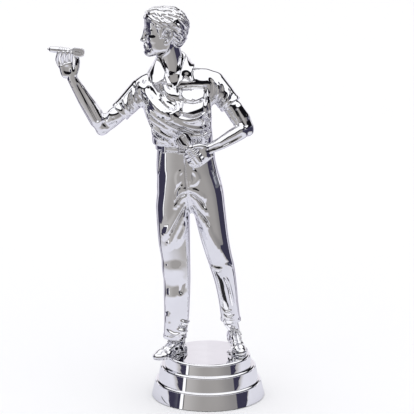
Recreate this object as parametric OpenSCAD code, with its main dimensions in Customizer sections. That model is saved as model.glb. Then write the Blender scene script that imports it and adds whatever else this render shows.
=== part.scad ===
// Figure trophy: a darts player on a three-tier round base, moulded in plated
// plastic as hollow half shells, plug-in limbs, and a base with a brass insert.

/* [Base] */
// Diameter at the foot of the bottom tier
base_d = 38; // [36:0.5:42]
// Height of the base, from its rim to the surface the figure stands on
base_h = 14.4; // [13.5:0.1:17]
// Wall thickness of the base
base_wall = 1.8; // [1.4:0.1:2.2]
// Rounding on the upper edge of each tier
tier_round = 0.7; // [0.3:0.1:0.9]
// Number of stiffening ribs under the base
rib_count = 6; // [3:1:8]

/* [Insert] */
// Bore of the threaded insert, at the crest of its thread
insert_bore_d = 5; // [4.8:0.1:5.6]
// Width across the insert's flats
insert_flats = 9.0; // [8.5:0.1:9.5]
// Length of the insert
insert_h = 8; // [6:0.5:9]

/* [Figure] */
// Height of the figure, from its soles to the top of its hair
figure_h = 117.6; // [115:0.1:122]
// Wall thickness of the hollow shells
shell_wall = 1.3; // [1.1:0.1:1.5]
// Clearance between a spigot and its socket
plug_gap = 0.05; // [0.03:0.01:0.1]

/* [Hidden] */

PLATE = [0.80, 0.81, 0.83];
BRASS = [0.78, 0.62, 0.28];
SMOOTH = 96;
LIMB_FN = 18;
SECTION_FN = 30;
u = figure_h / 117.6;
far = 60 * u;

// A point of the figure, measured from the middle of the base's top.
function at(x, y, z) = [x * u, y * u, base_h + z * u];
// A joint of a limb: a point of the figure and the limb's radius there.
function joint(x, y, z, r) = concat(at(x, y, z), [r * u]);
// A level section of a garment: height, middle in x and y, half width, half depth.
function section(z, x, y, w, d) = [base_h + z * u, x * u, y * u, w * u, d * u];
function shrunk(s, t) = [for (k = s) [k[0], k[1], k[2], k[3] - t, k[4] - t]];
function place(j) = [j[0], j[1], j[2]];

// ---- skeleton ----
PART_LEVEL = 69.6;
PART_MIDDLE = [-8, 2.75];
LEG_PART_TURN = 7;
HEM_R = 5.6;
HEM_L = 9.4;

PELVIS = [section(71, -7.5, 2.6, 9.4, 6.3), section(67, -7.4, 2.6, 9.7, 6.5),
          section(60, -6.7, 2.8, 10.5, 7.2), section(54, -6.1, 2.8, 11.2, 7.4),
          section(49, -5.9, 2.6, 5.0, 4.6)];
RIGHT_LEG = [section(57, -10.9, 2.2, 6.0, 6.8), section(50, -11.7, 1.8, 5.7, 6.3),
             section(39, -11.35, 1.2, 5.3, 5.5), section(32, -10.75, 0.8, 4.8, 5.0),
             section(24, -10.45, 0.5, 4.5, 4.7), section(13, -10.6, 0.3, 4.2, 4.4),
             section(HEM_R, -11.2, 0.1, 3.75, 4.2)];
LEFT_LEG = [section(57, -1.3, 2.8, 6.2, 6.8), section(50, 0.2, 2.4, 5.5, 6.4),
            section(40.3, 2.0, 1.7, 4.8, 5.5), section(31.8, 4.1, 1.6, 4.3, 4.9),
            section(22.4, 6.1, 3.7, 3.6, 4.5), section(16, 6.95, 5.1, 3.3, 4.25),
            section(HEM_L, 7.7, 6.9, 3.25, 4.1)];
TORSO = [section(68, -7.5, 2.6, 9.4, 6.3), section(72, -8.4, 2.6, 9.95, 6.8),
         section(76, -8.6, 2.6, 10.0, 6.9), section(80, -9.4, 2.6, 10.6, 7.0),
         section(84, -10.1, 2.7, 11.3, 7.1), section(88, -10.2, 2.8, 12.6, 7.0),
         section(91.6, -10.2, 2.9, 13.4, 6.2), section(94.2, -10.4, 3.0, 10.4, 5.2),
         section(96.4, -11.0, 3.1, 6.2, 4.9)];
RIGHT_SLEEVE = [joint(-19.4, 2.6, 90.6, 4.2), joint(-22.3, 2.2, 89.6, 4.1),
                joint(-26.4, 1.2, 85.4, 3.7), joint(-29.5, 0.5, 82.4, 3.2)];
LEFT_SLEEVE = [joint(-0.6, 2.8, 92.0, 4.2), joint(1.8, 2.8, 91.8, 4.2),
               joint(5.0, 1.6, 88.2, 3.9), joint(7.7, 0.5, 84.9, 3.5)];
YOKE = [joint(-20.4, 2.6, 91.2, 3.8), joint(-11.2, 3.1, 94.4, 3.9),
        joint(-1.0, 2.9, 93.4, 3.9)];
RIGHT_UPPER_ARM = [joint(-29.5, 0.5, 82.4, 2.8), joint(-32.2, 0.2, 79.9, 2.8),
                   joint(-34.9, 0.0, 77.4, 2.8)];
RIGHT_FOREARM = [joint(-34.9, 0.0, 77.4, 2.8), joint(-37.4, -0.1, 81.7, 2.8),
                 joint(-40.4, -0.3, 86.6, 2.35), joint(-44.4, -0.8, 94.2, 2.1)];
LEFT_UPPER_ARM = [joint(7.7, 0.5, 84.9, 3.1), joint(9.9, -0.6, 81.4, 3.0),
                  joint(12.1, -1.9, 77.8, 2.8)];
LEFT_FOREARM = [joint(12.1, -1.9, 77.8, 2.8), joint(8.8, -3.4, 75.9, 2.5),
                joint(4.2, -5.2, 73.3, 2.0), joint(-0.8, -6.8, 71.8, 2.2)];
NECK = [joint(-11.2, 3.2, 95.6, 4.0), joint(-12.3, 3.0, 100.4, 3.8), joint(-13.2, 2.8, 104, 3.9)];

SPIGOT_R = 1.5 * u;
SPIGOT_L = 4 * u;
SHOE_PEG_R = 1.3 * u;
SHOE_PEG_L = 2.2;

// ---- shared shapes ----
// Chained hulls of spheres along a limb.
module limb(joints)
    for (i = [0 : len(joints) - 2])
        hull() {
            translate(place(joints[i])) sphere(joints[i][3], $fn = LIMB_FN);
            translate(place(joints[i + 1])) sphere(joints[i + 1][3], $fn = LIMB_FN);
        }

function reversed(list) = [for (i = [len(list) - 1 : -1 : 0]) list[i]];

// A garment through level elliptical sections, listed from the top or from the bottom.
module loft(sections) {
    rising = sections[0][0] < sections[len(sections) - 1][0] ? sections : reversed(sections);
    n = SECTION_FN;
    last = (len(rising) - 1) * n;
    points = [for (s = rising) for (i = [0 : n - 1])
        [s[1] + s[3] * cos(360 * i / n), s[2] + s[4] * sin(360 * i / n), s[0]]];
    sides = [for (j = [0 : n : last - n]) for (i = [0 : n - 1]) let (k = (i + 1) % n)
        each [[j + i, j + n + i, j + n + k], [j + i, j + n + k, j + k]]];
    foot = [for (i = [0 : n - 1]) i];
    top = [for (i = [n - 1 : -1 : 0]) last + i];
    polyhedron(points, concat(sides, [foot, top]));
}

// Points the z axis from a to b, with its origin at a.
module along(a, b) {
    d = b - a;
    translate(a) rotate([0, acos(d[2] / norm(d)), atan2(d[1], d[0])]) children();
}

// The half of space in front of (-1) or behind (+1) an upright parting plane.
module half_space(side, turn)
    translate([PART_MIDDLE[0] * u, PART_MIDDLE[1] * u, base_h])
        rotate([0, 0, turn]) translate([-far, side > 0 ? 0 : -2 * far, -far])
            cube([2 * far, 2 * far, 4 * far]);

// ---- base ----
TIER_D = [[base_d, base_d - 2.2], [base_d - 4.2, base_d - 5.8], [base_d - 8.6, base_d - 9.6]];
TIER_H = [base_h * 5.6 / 14.4, base_h * 5.1 / 14.4, base_h * 3.7 / 14.4];
BOSS_R = 7;

// One tier: a drafted wall that ends in a rounded upper edge.
module tier(foot_d, top_d, z, h) {
    wall_h = h - tier_round;
    edge_r = top_d / 2 - tier_round;
    translate([0, 0, z]) {
        cylinder(h = wall_h, r1 = foot_d / 2, r2 = top_d / 2, $fn = SMOOTH);
        rotate_extrude($fn = SMOOTH) translate([edge_r, wall_h]) circle(tier_round, $fn = 48);
        cylinder(h = h, r = edge_r, $fn = SMOOTH);
    }
}

module tiers() {
    tier(TIER_D[0][0], TIER_D[0][1], 0, TIER_H[0]);
    tier(TIER_D[1][0], TIER_D[1][1], TIER_H[0], TIER_H[1]);
    tier(TIER_D[2][0], TIER_D[2][1], TIER_H[0] + TIER_H[1], TIER_H[2]);
}

module base_hollow()
    difference() {
        union() {
            for (i = [0 : 2])
                cylinder(h = [TIER_H[0], TIER_H[0] + TIER_H[1], base_h][i] - base_wall,
                         r = TIER_D[i][1] / 2 - base_wall, $fn = SMOOTH);
        }
        cylinder(h = base_h, r = BOSS_R, $fn = SMOOTH);
        for (i = [0 : rib_count - 1])
            rotate([0, 0, (i + 0.5) * 360 / rib_count]) translate([0, -0.6, 0.8])
                cube([base_d / 2, 1.2, base_h]);
    }

module hex_body(flats, h)
    cylinder(h = h, r = flats / 2 / cos(30), $fn = 6);

function shoe_peg(heel, toe, t) = heel + (toe - heel) * t;

module shoe_socket(heel, toe, t) {
    p = shoe_peg(heel, toe, t);
    translate([p[0], p[1], base_h - SHOE_PEG_L - 0.1])
        cylinder(h = far, r = SHOE_PEG_R + plug_gap, $fn = SMOOTH);
}

module shoe_seat(heel, toe, t) {
    p = shoe_peg(heel, toe, t);
    translate([p[0], p[1], base_h - SHOE_PEG_L - 1.6])
        cylinder(h = SHOE_PEG_L, r = SHOE_PEG_R + 1.2, $fn = SMOOTH);
}

module base_cup()
    color(PLATE)
        difference() {
            union() {
                difference() {
                    tiers();
                    base_hollow();
                }
                shoe_seat(RIGHT_HEEL, RIGHT_TOE, RIGHT_PEG);
                shoe_seat(LEFT_HEEL, LEFT_TOE, LEFT_PEG);
            }
            translate([0, 0, -1]) hex_body(insert_flats, insert_h + 1);
            shoe_socket(RIGHT_HEEL, RIGHT_TOE, RIGHT_PEG);
            shoe_socket(LEFT_HEEL, LEFT_TOE, LEFT_PEG);
        }

module threaded_insert()
    color(BRASS)
        difference() {
            hex_body(insert_flats, insert_h);
            translate([0, 0, -1]) cylinder(h = insert_h + 2, r = insert_bore_d / 2, $fn = SMOOTH);
        }

// ---- shoes ----
RIGHT_HEEL = [-8.8 * u, 2.0 * u];
RIGHT_TOE = [-17.2 * u, -8.4 * u];
RIGHT_ANKLE = at(-11.2, 0.1, HEM_R);
RIGHT_PEG = 0.36;
LEFT_HEEL = [8.3 * u, 10.4 * u];
LEFT_TOE = [11.1 * u, -3.4 * u];
LEFT_ANKLE = at(7.7, 7.2, HEM_L);
LEFT_PEG = 0.7;
// The left heel is off the ground.
LEFT_LIFT = 2.4;

// A rounded lump of a shoe, part way from heel to toe, that the heel's lift carries up.
module shoe_blob(heel, toe, t, z, r, flat, lift = 0)
    translate([heel[0] + (toe[0] - heel[0]) * t, heel[1] + (toe[1] - heel[1]) * t,
               base_h + (z + lift * max(0, 1 - t / 0.7)) * u])
        scale([1, 1, flat]) sphere(r * u, $fn = 20);

module shoe(heel, toe, ankle, lift, peg) {
    p = shoe_peg(heel, toe, peg);
    difference() {
        union() {
            hull() {
                shoe_blob(heel, toe, 0.04, 1.7, 2.5, 0.9, lift);
                shoe_blob(heel, toe, 0.45, 1.6, 2.4, 0.9, lift);
            }
            hull() {
                shoe_blob(heel, toe, 0.45, 1.6, 2.4, 0.9, lift);
                shoe_blob(heel, toe, 0.74, 1.3, 2.9, 0.7, lift);
                shoe_blob(heel, toe, 0.97, 1.1, 2.1, 0.75);
            }
            hull() {
                shoe_blob(heel, toe, 0.06, 1.7, 2.4, 0.9, lift);
                shoe_blob(heel, toe, 0.66, 2.0, 2.1, 0.8, lift);
                translate(ankle - [0, 0, 1.2 * u]) sphere(2.6 * u, $fn = LIMB_FN);
            }
        }
        translate([-far, -far, base_h - 2 * far]) cube([2 * far, 2 * far, 2 * far]);
        translate([-far, -far, ankle[2]]) cube([2 * far, 2 * far, 2 * far]);
    }
    translate([p[0], p[1], base_h - SHOE_PEG_L])
        cylinder(h = SHOE_PEG_L + 1, r = SHOE_PEG_R, $fn = 32);
    translate([ankle[0], ankle[1], ankle[2] - 1])
        cylinder(h = SPIGOT_L + 1, r = SPIGOT_R, $fn = 32);
}

module right_shoe()
    color(PLATE) shoe(RIGHT_HEEL, RIGHT_TOE, RIGHT_ANKLE, 0, RIGHT_PEG);
module left_shoe()
    color(PLATE) shoe(LEFT_HEEL, LEFT_TOE, LEFT_ANKLE, LEFT_LIFT, LEFT_PEG);

// ---- trousers ----
module trousers_outside() {
    loft(PELVIS);
    loft(RIGHT_LEG);
    loft(LEFT_LEG);
}

// The hollow stops above the hems, which close round the shoes' spigots.
module trousers_inside() {
    loft(shrunk(PELVIS, shell_wall));
    loft(shrunk([for (i = [0 : 4]) RIGHT_LEG[i]], shell_wall));
    loft(shrunk([for (i = [0 : 4]) LEFT_LEG[i]], shell_wall));
}

module shoe_spigot_hole(ankle)
    translate([ankle[0], ankle[1], ankle[2] - 1])
        cylinder(h = SPIGOT_L + 1.1, r = SPIGOT_R + plug_gap, $fn = 32);

// Locating pins across the parting plane, in the garment's solid corners.
module pins(points, turn, r, reach)
    for (p = points)
        translate([PART_MIDDLE[0] * u, PART_MIDDLE[1] * u, base_h]) rotate([0, 0, turn])
            translate([p[0] * u, 0, p[1] * u]) rotate([90, 0, 0])
                cylinder(h = reach * 2, r = r, center = true, $fn = 24);

TROUSER_PINS = [[-8.2, 63], [11.0, 63]];
SHIRT_PINS = [[-9.6, 76], [8.4, 76]];
PIN_R = 0.8;
PIN_REACH = 1.6;

// Blocks that carry the pins on the inside of the wall.
module pin_blocks(points, turn)
    for (p = points)
        translate([PART_MIDDLE[0] * u, PART_MIDDLE[1] * u, base_h]) rotate([0, 0, turn])
            translate([p[0] * u * 0.86, 0, p[1] * u]) cube([3.2, 2 * PIN_REACH + 2, 3.2], center = true);

module trousers_half(side) {
    intersection() {
        difference() {
            union() {
                difference() {
                    trousers_outside();
                    trousers_inside();
                }
                intersection() {
                    trousers_outside();
                    pin_blocks(TROUSER_PINS, LEG_PART_TURN);
                }
            }
            shoe_spigot_hole(RIGHT_ANKLE);
            shoe_spigot_hole(LEFT_ANKLE);
            translate([-far, -far, base_h + PART_LEVEL * u]) cube([2 * far, 2 * far, far]);
            if (side < 0) pins(TROUSER_PINS, LEG_PART_TURN, PIN_R + plug_gap, PIN_REACH + 0.1);
        }
        half_space(side, LEG_PART_TURN);
    }
}

module trousers_front() color(PLATE) trousers_half(-1);
module trousers_back()
    color(PLATE) {
        trousers_half(1);
        intersection() {
            pins(TROUSER_PINS, LEG_PART_TURN, PIN_R, PIN_REACH);
            trousers_outside();
        }
    }

// ---- shirt ----
module shirt_outside() {
    difference() {
        union() {
            loft(TORSO);
            limb(YOKE);
            limb(RIGHT_SLEEVE);
            limb(LEFT_SLEEVE);
        }
        sleeve_end(RIGHT_SLEEVE, RIGHT_UPPER_ARM);
        sleeve_end(LEFT_SLEEVE, LEFT_UPPER_ARM);
    }
}

// Trims the sleeve square to the arm, at its hem.
module sleeve_end(sleeve, arm)
    along(place(sleeve[3]), place(arm[1])) cylinder(h = 12 * u, r = 6 * u, $fn = LIMB_FN);

module arm_socket(arm, gap)
    along(place(arm[0]), place(arm[1])) translate([0, 0, -SPIGOT_L - gap])
        cylinder(h = SPIGOT_L + gap + 1, r = SPIGOT_R + gap, $fn = 32);

module neck_plug(gap)
    along(place(NECK[0]), place(NECK[1])) translate([0, 0, -6 * u - gap])
        cylinder(h = 8 * u, r = 2.4 * u + gap, $fn = 32);

module neck_hole()
    limb([for (j = NECK) [j[0], j[1], j[2], j[3] + plug_gap]]);

// The stand of the collar: a sloping ring round the neck, open at the front.
module collar()
    for (i = [2 : 12])
        hull() {
            collar_bead(i, 0, 0.8);
            collar_bead(i, 1, 0.6);
            collar_bead(i + 1, 0, 0.8);
            collar_bead(i + 1, 1, 0.6);
        }

module collar_bead(i, level, r) {
    turn = -90 + i * 24;
    rise = 1 + 0.7 * cos(turn - 90);
    translate(place(NECK[0]))
        translate([(5.4 - 0.7 * level) * u * cos(turn), (4.9 - 0.5 * level) * u * sin(turn),
                   (level * 3.6 * rise - 0.6 + 1.2 * sin(turn)) * u])
            sphere(r * u, $fn = 10);
}

module shirt_hollow() {
    loft(shrunk([for (i = [1 : 7]) TORSO[i]], shell_wall + 0.2));
    waist_disc(shell_wall + 1.2, 3, 4);
    neck_hole();
    neck_plug(plug_gap);
    arm_socket(RIGHT_UPPER_ARM, plug_gap);
    arm_socket(LEFT_UPPER_ARM, plug_gap);
}

// The shirt's lower edge has a tongue that reaches down inside the waistband.
module waist_disc(inset, down, up)
    translate([PELVIS[0][1], PELVIS[0][2], base_h + PART_LEVEL * u - down])
        scale([PELVIS[0][3] - inset, PELVIS[0][4] - inset, 1])
            cylinder(h = down + up, r = 1, $fn = SECTION_FN);

module shirt_half(side)
    intersection() {
        difference() {
            union() {
                difference() {
                    union() {
                        shirt_outside();
                        collar();
                    }
                    translate([-far, -far, base_h + PART_LEVEL * u - far]) cube([2 * far, 2 * far, far]);
                }
                waist_disc(shell_wall + 0.1, 1.5, 1);
            }
            difference() {
                shirt_hollow();
                pin_blocks(SHIRT_PINS, 0);
            }
            if (side < 0) pins(SHIRT_PINS, 0, PIN_R + plug_gap, PIN_REACH + 0.1);
        }
        half_space(side, 0);
    }

module shirt_front() color(PLATE) shirt_half(-1);
module shirt_back()
    color(PLATE) {
        shirt_half(1);
        intersection() {
            pins(SHIRT_PINS, 0, PIN_R, PIN_REACH);
            shirt_outside();
        }
    }

// ---- head ----
HEAD_MIDDLE = at(-14.5, 2.6, 109.8);
GAZE = 188;

module head_blob(forward, side, up, r, shape)
    translate(HEAD_MIDDLE) rotate([0, 0, GAZE]) translate([forward * u, side * u, up * u])
        scale(shape) sphere(r * u, $fn = 24);

module head()
    color(PLATE) {
        // skull and hair
        hull() {
            head_blob(1.0, 0, 2.6, 5.6, [1.06, 0.9, 0.92]);
            head_blob(-2.0, 0, 1.4, 5.4, [0.96, 0.98, 1]);
            head_blob(-2.6, 0, -2.6, 3.6, [1, 1.1, 1]);
        }
        // brow to chin
        hull() {
            head_blob(1.6, 0, 1.8, 4.7, [1, 0.98, 1]);
            head_blob(1.4, 0, -3.2, 4.2, [1, 0.98, 1]);
            head_blob(4.3, 0, -6.1, 1.9, [1, 1.2, 1]);
        }
        // nose
        hull() {
            head_blob(6.1, 0, 0.2, 0.5, [1, 1, 1]);
            head_blob(6.9, 0, -1.8, 0.8, [1, 1, 1]);
        }
        // ears
        for (s = [-1, 1])
            hull() {
                head_blob(-0.9, s * 5.0, 0.0, 1.2, [1, 0.6, 1.2]);
                head_blob(-0.4, s * 4.7, -2.0, 0.9, [1, 0.6, 1]);
            }
        limb(NECK);
        neck_plug(0);
    }

// ---- arms ----
module spigot(arm)
    along(place(arm[0]), place(arm[1])) translate([0, 0, -SPIGOT_L])
        cylinder(h = SPIGOT_L + 1, r = SPIGOT_R, $fn = 32);

module arm_above_hem(sleeve, arm)
    along(place(sleeve[3]), place(arm[1])) translate([0, 0, 0.02])
        cylinder(h = 60 * u, r = 40 * u, $fn = LIMB_FN);

THROWING_HAND = [joint(-44.4, -0.8, 94.2, 2.1), joint(-45.8, -0.9, 97.0, 2.5),
                 joint(-46.2, -1.0, 98.6, 2.3)];
DART_TAIL = at(-40.6, -1.5, 102.9);
DART_TIP = at(-52.8, -1.5, 104.3);

// Fingers of the throwing hand: each is three joints, and the ends pinch the barrel.
THROWING_FINGERS = [
    [joint(-47.2, -1.9, 98.2, 1.0), joint(-47.6, -3.0, 100.8, 0.9), joint(-46.9, -2.3, 103.0, 0.75)],
    [joint(-47.8, -0.7, 98.0, 1.0), joint(-49.0, -1.4, 101.0, 0.9), joint(-48.6, -1.5, 102.8, 0.75)],
    [joint(-47.8, 0.5, 97.6, 0.95), joint(-49.0, 0.6, 100.2, 0.85), joint(-48.6, 0.2, 102.4, 0.7)],
    [joint(-47.2, 1.5, 97.0, 0.9), joint(-48.3, 2.1, 99.2, 0.8), joint(-47.8, 1.5, 101.0, 0.7)],
    [joint(-44.6, -1.6, 97.4, 1.1), joint(-43.8, -2.2, 100.2, 1.0), joint(-45.1, -1.7, 102.6, 0.8)]];

module throwing_arm()
    color(PLATE)
        difference() {
            union() {
                intersection() {
                    union() {
                        limb(RIGHT_UPPER_ARM);
                        limb(RIGHT_FOREARM);
                        limb(THROWING_HAND);
                        for (f = THROWING_FINGERS) limb(f);
                    }
                    arm_above_hem(RIGHT_SLEEVE, RIGHT_UPPER_ARM);
                }
                spigot(RIGHT_UPPER_ARM);
            }
            dart_solid(DART_TAIL, DART_TIP, plug_gap);
        }

RESTING_HAND = [joint(-0.8, -6.8, 71.8, 2.2), joint(-3.2, -7.4, 71.4, 2.4),
                joint(-4.6, -7.6, 70.6, 2.3)];
SPARE_TAIL = at(-9.6, -8.6, 76.4);
SPARE_TIP = at(-2.8, -9.2, 66.2);
SPARE_STEP = [0.9 * u, -1.0 * u, 1.0 * u];

// Fingers of the resting hand, curled round the spare darts.
RESTING_FINGERS = [
    for (i = [0 : 3]) [
        joint(-4.4 + 0.75 * i, -8.8, 72.4 - 1.5 * i, 1.0),
        joint(-6.2 + 0.8 * i, -10.2, 72.0 - 1.5 * i, 0.9),
        joint(-7.6 + 0.85 * i, -9.2, 71.4 - 1.45 * i, 0.85)]];
RESTING_THUMB = [joint(-3.4, -8.4, 73.2, 1.1), joint(-5.8, -9.8, 74.2, 0.95),
                 joint(-7.8, -9.8, 74.0, 0.8)];

module resting_arm()
    color(PLATE)
        difference() {
            union() {
                intersection() {
                    union() {
                        limb(LEFT_UPPER_ARM);
                        limb(LEFT_FOREARM);
                        limb(RESTING_HAND);
                        for (f = RESTING_FINGERS) limb(f);
                        limb(RESTING_THUMB);
                    }
                    arm_above_hem(LEFT_SLEEVE, LEFT_UPPER_ARM);
                }
                spigot(LEFT_UPPER_ARM);
            }
            dart_solid(SPARE_TAIL, SPARE_TIP, plug_gap);
            dart_solid(SPARE_TAIL + SPARE_STEP, SPARE_TIP + SPARE_STEP, plug_gap);
            trousers_outside();
            shirt_outside();
        }

// ---- darts ----
DART_L = norm(DART_TIP - DART_TAIL);

// A dart from tail to tip: flights, stem, barrel and point. grow widens it for the grip.
module dart_solid(tail, tip, grow)
    along(tail, tip) {
        cylinder(h = DART_L * 0.97, r = 0.38 * u + grow, $fn = 24);
        translate([0, 0, DART_L * 0.36]) cylinder(h = DART_L * 0.4, r = 0.8 * u + grow, $fn = 24);
        translate([0, 0, DART_L * 0.76])
            cylinder(h = DART_L * 0.06, r1 = 0.8 * u + grow, r2 = 0.38 * u, $fn = 24);
    }

module dart(tail, tip)
    dart_solid(tail, tip, 0);

module flights(tail, tip)
    along(tail, tip)
        for (i = [0 : 3])
            rotate([0, 0, 45 + 90 * i]) rotate([90, 0, 0])
                linear_extrude(height = 0.36 * u, center = true)
                    polygon([[0, 0.2 * u], [1.9 * u, 0.2 * u], [2.0 * u, 2.2 * u],
                             [0.3 * u, 4.0 * u], [0, 4.0 * u]]);

module throwing_dart()
    color(PLATE) {
        dart(DART_TAIL, DART_TIP);
        flights(DART_TAIL, DART_TIP);
    }

module spare_dart_upper()
    color(PLATE) {
        dart(SPARE_TAIL + SPARE_STEP, SPARE_TIP + SPARE_STEP);
        flights(SPARE_TAIL + SPARE_STEP, SPARE_TIP + SPARE_STEP);
    }

module spare_dart_lower()
    color(PLATE) {
        dart(SPARE_TAIL, SPARE_TIP);
        flights(SPARE_TAIL, SPARE_TIP);
    }

base_cup();
threaded_insert();
right_shoe();
left_shoe();
trousers_front();
trousers_back();
shirt_front();
shirt_back();
head();
throwing_arm();
resting_arm();
throwing_dart();
spare_dart_upper();
spare_dart_lower();
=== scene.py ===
"""Figure trophy: a chromed darts player on a round base, sculpted by signed distances."""
import math

import bmesh
import bpy
import numpy as np
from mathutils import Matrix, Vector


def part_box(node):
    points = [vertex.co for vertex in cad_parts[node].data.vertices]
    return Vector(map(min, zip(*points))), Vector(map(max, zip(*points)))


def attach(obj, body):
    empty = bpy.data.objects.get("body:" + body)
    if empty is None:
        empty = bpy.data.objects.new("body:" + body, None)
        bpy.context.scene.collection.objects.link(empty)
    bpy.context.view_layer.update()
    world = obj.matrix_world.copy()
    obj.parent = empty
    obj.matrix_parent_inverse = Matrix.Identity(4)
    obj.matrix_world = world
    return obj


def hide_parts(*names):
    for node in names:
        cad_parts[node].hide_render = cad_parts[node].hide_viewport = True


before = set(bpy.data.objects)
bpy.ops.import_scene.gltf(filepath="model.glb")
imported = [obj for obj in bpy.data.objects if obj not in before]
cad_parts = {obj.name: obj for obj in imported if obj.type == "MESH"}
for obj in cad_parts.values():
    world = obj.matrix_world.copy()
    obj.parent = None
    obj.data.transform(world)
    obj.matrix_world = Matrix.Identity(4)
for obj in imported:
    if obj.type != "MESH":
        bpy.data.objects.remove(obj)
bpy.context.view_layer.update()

import openvdb

MM = 0.001
BASE_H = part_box("base_cup")[1][2] / MM
# The figure is designed this tall from the middle of the base's top, and scaled to the frame.
DESIGN_H = 117.6
FIGURE = (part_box("head")[1][2] / MM - BASE_H) / DESIGN_H
STEP = 1.0

# The photo's view: a long lens that looks down by this many degrees. Places are in metres.
LENS, SENSOR = 202.5, 36
LOOK_DOWN = 14.2
CAMERA_AT = (-0.0004, -0.750, 0.2548)
NEAR_CLIP, FAR_CLIP = 0.05, 20

# The floor's half size, and the front and back of the paper that only the chrome sees.
FLOOR_REACH = 8
PAPER_FRONT, PAPER_BACK = -0.21, 0.05
# Where the paper starts and ends its fade, as distances from the trophy's axis.
FADE_FROM, FADE_TO = 0.125, 0.205
# How far below the paper the floor lies, and how far above it the ribbon.
LAYER = 0.0002
# The edges of a dark ribbon round the left of the base, in mm, which only the chrome sees. It is a painted
# reflection: it draws the dark stroke of the long fold of the left shin.
RIBBON_INNER = [(-37, 0), (-33, -5), (-26, -14.5), (-4.5, -27), (6, -23.5)]
RIBBON_OUTER = [(-39, -2), (-37, -8), (-30.5, -19), (-5.5, -33), (7, -28.5)]


# ---------------- camera, floor and light
def camera():
    data = bpy.data.cameras.new("camera")
    data.lens = LENS
    data.sensor_width = SENSOR
    data.clip_start = NEAR_CLIP
    data.clip_end = FAR_CLIP
    eye = bpy.data.objects.new("camera", data)
    eye.location = CAMERA_AT
    eye.rotation_euler = (math.radians(90 - LOOK_DOWN), 0, 0)
    bpy.context.scene.collection.objects.link(eye)
    bpy.context.scene.camera = eye


class Tree:
    """The cleared node tree of a material or of the world."""

    def __init__(self, owner):
        owner.use_nodes = True
        self.nodes, self.links = owner.node_tree.nodes, owner.node_tree.links
        self.nodes.clear()

    def add(self, kind, inputs, **settings):
        """Adds a node and returns its outputs. Each input is a socket, a number, or a colour as a tuple."""
        node = self.nodes.new("ShaderNode" + kind)
        for name, value in settings.items():
            setattr(node, name, value)
        for name, value in inputs.items():
            if isinstance(value, bpy.types.NodeSocket):
                self.links.new(value, node.inputs[name])
            else:
                node.inputs[name].default_value = (*value, 1) if isinstance(value, tuple) else value
        return node.outputs

    def mixed(self, weight, under, over):
        return self.add("Mix", {"Factor": weight, "A": under, "B": over}, data_type="RGBA")["Result"]

    def step_up(self, value, start, end):
        """From 0 at start to 1 at end, with soft ends."""
        limits = {"Value": value, "From Min": start, "From Max": end}
        return self.add("MapRange", limits, interpolation_type="SMOOTHSTEP")["Result"]

    def ramp(self, value, *stops):
        """A colour between two stops, each (position, colour)."""
        node = self.nodes.new("ShaderNodeValToRGB")
        self.links.new(value, node.inputs["Fac"])
        for element, (position, colour) in zip(node.color_ramp.elements, stops):
            element.position = position
            element.color = (*colour, 1)
        return node.outputs["Color"]

    def surface(self, **inputs):
        """The material's surface, its inputs named with underscores for spaces."""
        skin = self.add("BsdfPrincipled", {name.replace("_", " "): value for name, value in inputs.items()})
        self.add("OutputMaterial", {"Surface": skin["BSDF"]})


def matte(name, colour, far=None):
    """A plain paper-like surface with a faint mottle. It may darken away from the middle."""
    m = bpy.data.materials.new(name)
    tree = Tree(m)
    mottle = tree.add("TexNoise", {"Scale": 60})["Fac"]
    shown = tree.ramp(mottle, (0, [c * 0.985 for c in colour]), (1, colour))
    if far:
        place = tree.add("TexCoord", {})["Object"]
        reach = tree.add("VectorMath", {0: place}, operation="LENGTH")["Value"]
        shown = tree.mixed(tree.step_up(reach, FADE_FROM, FADE_TO), shown, far)
    tree.surface(Roughness=0.9, Base_Color=shown)
    return m


def sheet(name, corners, z, material):
    """A flat shape of the studio, which isn't part of the object, from its (x, y) corners."""
    mesh = bpy.data.meshes.new(name)
    mesh.from_pydata([(x, y, z) for x, y in corners], [], [range(len(corners))])
    mesh.materials.append(material)
    obj = bpy.data.objects.new(name, mesh)
    bpy.context.scene.collection.objects.link(obj)
    return obj


def rectangle(half, front, back):
    return [(-half, front), (half, front), (half, back), (-half, back)]


def floor():
    """A pale floor. The chrome mirrors only the paper near the trophy, with a dark ribbon on it that is a
    painted reflection of the left shin's fold, and past it the studio.
    """
    wide = sheet("floor", rectangle(FLOOR_REACH, -FLOOR_REACH, FLOOR_REACH), -LAYER,
                 matte("paper", (0.92, 0.92, 0.94)))
    wide.visible_glossy = False
    near = sheet("paper", rectangle(-PAPER_FRONT, PAPER_FRONT, PAPER_BACK), 0,
                 matte("grey_paper", (0.72, 0.72, 0.79), (0.42, 0.405, 0.40)))
    # the black ribbon is a painted reflection: only the chrome sees it, and it draws the dark stroke of the
    # left shin's fold
    loop = [*eased(RIBBON_OUTER, 4), *eased(RIBBON_INNER, 4)[::-1]]
    ribbon = sheet("ribbon", [(x * MM, y * MM) for x, y in loop], LAYER,
                   matte("painted_fold_reflection", (0.01, 0.01, 0.012)))
    for glossy in (near, ribbon):
        glossy.visible_camera = False
        glossy.visible_diffuse = False
        glossy.visible_shadow = False


# The colours of the studio.
WARM_GREY = (0.37, 0.355, 0.345)
PALE_GREY = (0.50, 0.485, 0.475)
DIM_GREY = (0.27, 0.26, 0.26)
SLATE = (0.17, 0.175, 0.20)
SILVER = (0.36, 0.37, 0.41)
NAVY = (0.045, 0.042, 0.075)
BLACK = (0.006, 0.006, 0.008)
WHITE = (1.15, 1.15, 1.17)
LAVENDER = (0.72, 0.70, 0.80)
PEARL = (0.86, 0.83, 0.88)
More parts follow.
